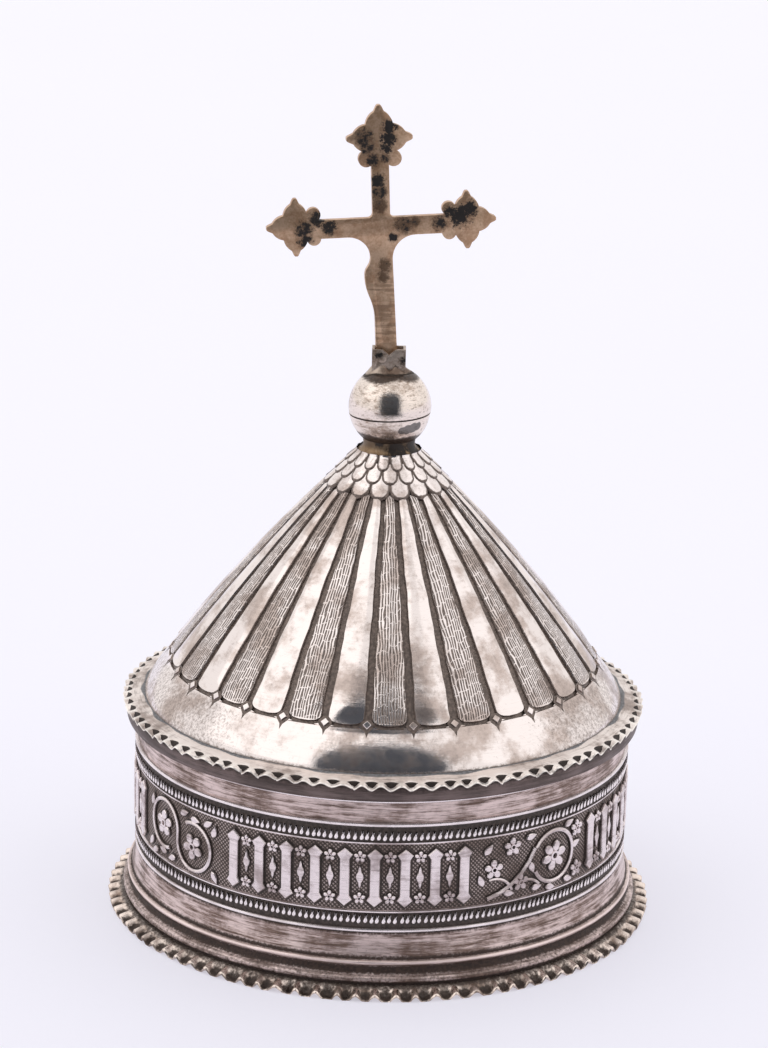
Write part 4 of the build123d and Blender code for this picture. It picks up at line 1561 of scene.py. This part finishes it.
# The blue-grey third colour is painted shade under the crimped arches, and dirt in the dents.
RIM = SilverFinish(
    "rim_silver", (0.86, 0.78, 0.73), (0.48, 0.4, 0.36), (0.15, 0.15, 0.155),
    roughness=0.36, dull_share=0.47, scratch=0.5, hammer=0.04, speckle=0.55,
)
FOOT_RIM = SilverFinish(
    "foot_rim_silver", (0.74, 0.63, 0.56), (0.32, 0.235, 0.19), (0.045, 0.032, 0.026),
    roughness=0.22, dull_share=0.47, scratch=0.4, hammer=0.04, speckle=0.5,
)
WORN = SilverFinish(
    "worn_silver", (0.74, 0.6, 0.565), (0.21, 0.14, 0.112), (0.036, 0.022, 0.017),
    roughness=0.3, dull_share=0.5, scratch=1.0, hammer=0.0, speckle=0.35, metal=0.75,
)
BAND = SilverFinish(
    "band_silver", (0.155, 0.112, 0.103), (0.07, 0.047, 0.041), (0.022, 0.015, 0.012),
    roughness=0.32, dull_share=0.52, scratch=1.0, hammer=0.0, speckle=0.3, metal=0.75,
)
GROUND = SilverFinish(
    "frieze_ground", (0.52, 0.425, 0.395), (0.3, 0.225, 0.2), (0.06, 0.046, 0.04),
    roughness=0.4, dull_share=0.5, scratch=0.2, hammer=0.0, crosshatch=0.42, metal=0.7,
)
RELIEF = SilverFinish(
    "relief_silver", (0.84, 0.75, 0.745), (0.48, 0.395, 0.385), (0.045, 0.034, 0.029),
    roughness=0.22, dull_share=0.47, scratch=0.5, hammer=0.03, speckle=0.35, metal=0.85,
)


@dataclass(frozen=True)
class CrossPlane:
    """The plane that the cross stands in: it leans to the left and is turned a little."""

    origin: tuple[float, float, float] = (-2.58, 0.0, 139.31)
    lean: float = 2.7
    turn: float = 7.0
    face: float = 0.8

    def at(self, u: float, v: float) -> tuple[float, float, float]:
        """Place of a point on the cross's front, from the crossing."""
        lean, turn = math.radians(self.lean), math.radians(self.turn)
        right = np.array((math.cos(lean) * math.cos(turn), math.cos(lean) * math.sin(turn), math.sin(lean)))
        up = np.array((-math.cos(turn) * math.sin(lean), -math.sin(turn) * math.sin(lean), math.cos(lean)))
        front = np.array((math.sin(turn), -math.cos(turn), 0.0))
        return tuple(np.array(self.origin) + u * right + v * up + self.face * front)


TARNISH = (
    (1.9, 18.4, 2.2, 1.0), (1.7, 16.2, 2.4, 1.0), (1.2, 14.4, 1.8, 0.9), (-3.0, 16.6, 2.8, 0.75),
    (-2.4, 14.4, 2.2, 0.8), (-1.4, 12.0, 2.2, 0.85), (0.9, 12.4, 1.4, 0.8), (-0.6, 8.0, 2.2, 1.0),
    (-0.4, 5.6, 2.4, 0.7), (-0.1, 3.2, 2.2, 0.5),
    (4.4, -0.9, 2.8, 0.62), (2.2, -3.2, 1.4, 0.95), (6.4, -0.3, 1.6, 0.6), (-15.0, -0.9, 2.8, 0.85),
    (-12.4, 1.2, 2.4, 0.95), (-10.2, -0.6, 2.2, 0.95), (-14.9, -3.1, 2.2, 0.9), (15.4, 0.4, 3.4, 1.0),
    (11.4, -0.8, 2.2, 0.8), (17.2, 1.8, 2.4, 0.9), (13.2, 1.4, 2.0, 0.9), (0.5, -8.6, 1.9, 0.3),
    (0.0, -10.8, 1.7, 0.3),
)
CROSS = GiltFinish(
    "worn_gilding", (0.46, 0.28, 0.17), (0.68, 0.48, 0.33), (0.014, 0.011, 0.01),
    tuple((*CrossPlane().at(u, v), reach, burn) for u, v, reach, burn in TARNISH),
    filed_from=114.0, filed_to=131.0,
)
SLEEVE = GiltFinish(
    "dark_sleeve", (0.28, 0.205, 0.155), (0.56, 0.47, 0.4), (0.012, 0.01, 0.008),
    ((0.9, -2.0, 110.4, 1.0, 1.0), (-2.3, -2.0, 113.0, 1.2, 0.9), (2.6, -1.0, 112.0, 2.0, 0.7)),
)
# Dark amber colour with near-black patches all round the neck, under the ball.
DARK_NECK = GiltFinish(
    "dark_neck", (0.22, 0.135, 0.07), (0.38, 0.27, 0.17), (0.03, 0.021, 0.016),
    (
        (1.6, -5.1, 95.0, 3.2, 1.0), (4.8, -2.6, 95.0, 3.0, 1.0), (5.2, 1.8, 95.0, 3.4, 0.9),
        (2.0, 5.0, 95.0, 3.4, 0.9), (-2.6, 4.8, 95.0, 3.4, 0.9), (-5.4, 1.2, 95.0, 2.6, 0.9),
        (-2.0, -5.1, 96.0, 1.4, 1.0),
    ),
)


def main() -> None:
    """Builds the pieces in order."""
    logging.basicConfig(level=logging.INFO)
    polished, rim, foot_rim, worn, band, ground, relief = (
        finish.make() for finish in (POLISHED, RIM, FOOT_RIM, WORN, BAND, GROUND, RELIEF)
    )
    box, frieze, lid, finial = Box(), Frieze(), Lid(), Finial()
    box.base_plate(foot_rim)
    box.foot(worn)
    box.drum(worn, ground)
    box.border("lower_border_milled", "lower_border", box.moulding_top, 1.0, relief)
    box.border("upper_border_milled", "upper_border", box.frieze_top + box.border_height, -1.0, relief)
    box.lip(relief)
    box.bezel(worn)
    frieze.build(relief)
    lid.band(band)
    lid.flange(rim)
    lid.cone(polished)
    lid.gore_points(polished)
    lid.scales(polished)
    finial.neck(DARK_NECK.make())
    finial.ball(BALL.make())
    finial.solder(SOLDER.make())
    finial.cross(CROSS.make(), SLEEVE.make())
    for node in ("apex_washer", "finial_stud"):
        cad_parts[node].data.materials.clear()
        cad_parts[node].data.materials.append(worn)
    Studio().build()
    bpy.context.scene.view_settings.view_transform = "Standard"


if __name__ == "__main__":
    main()
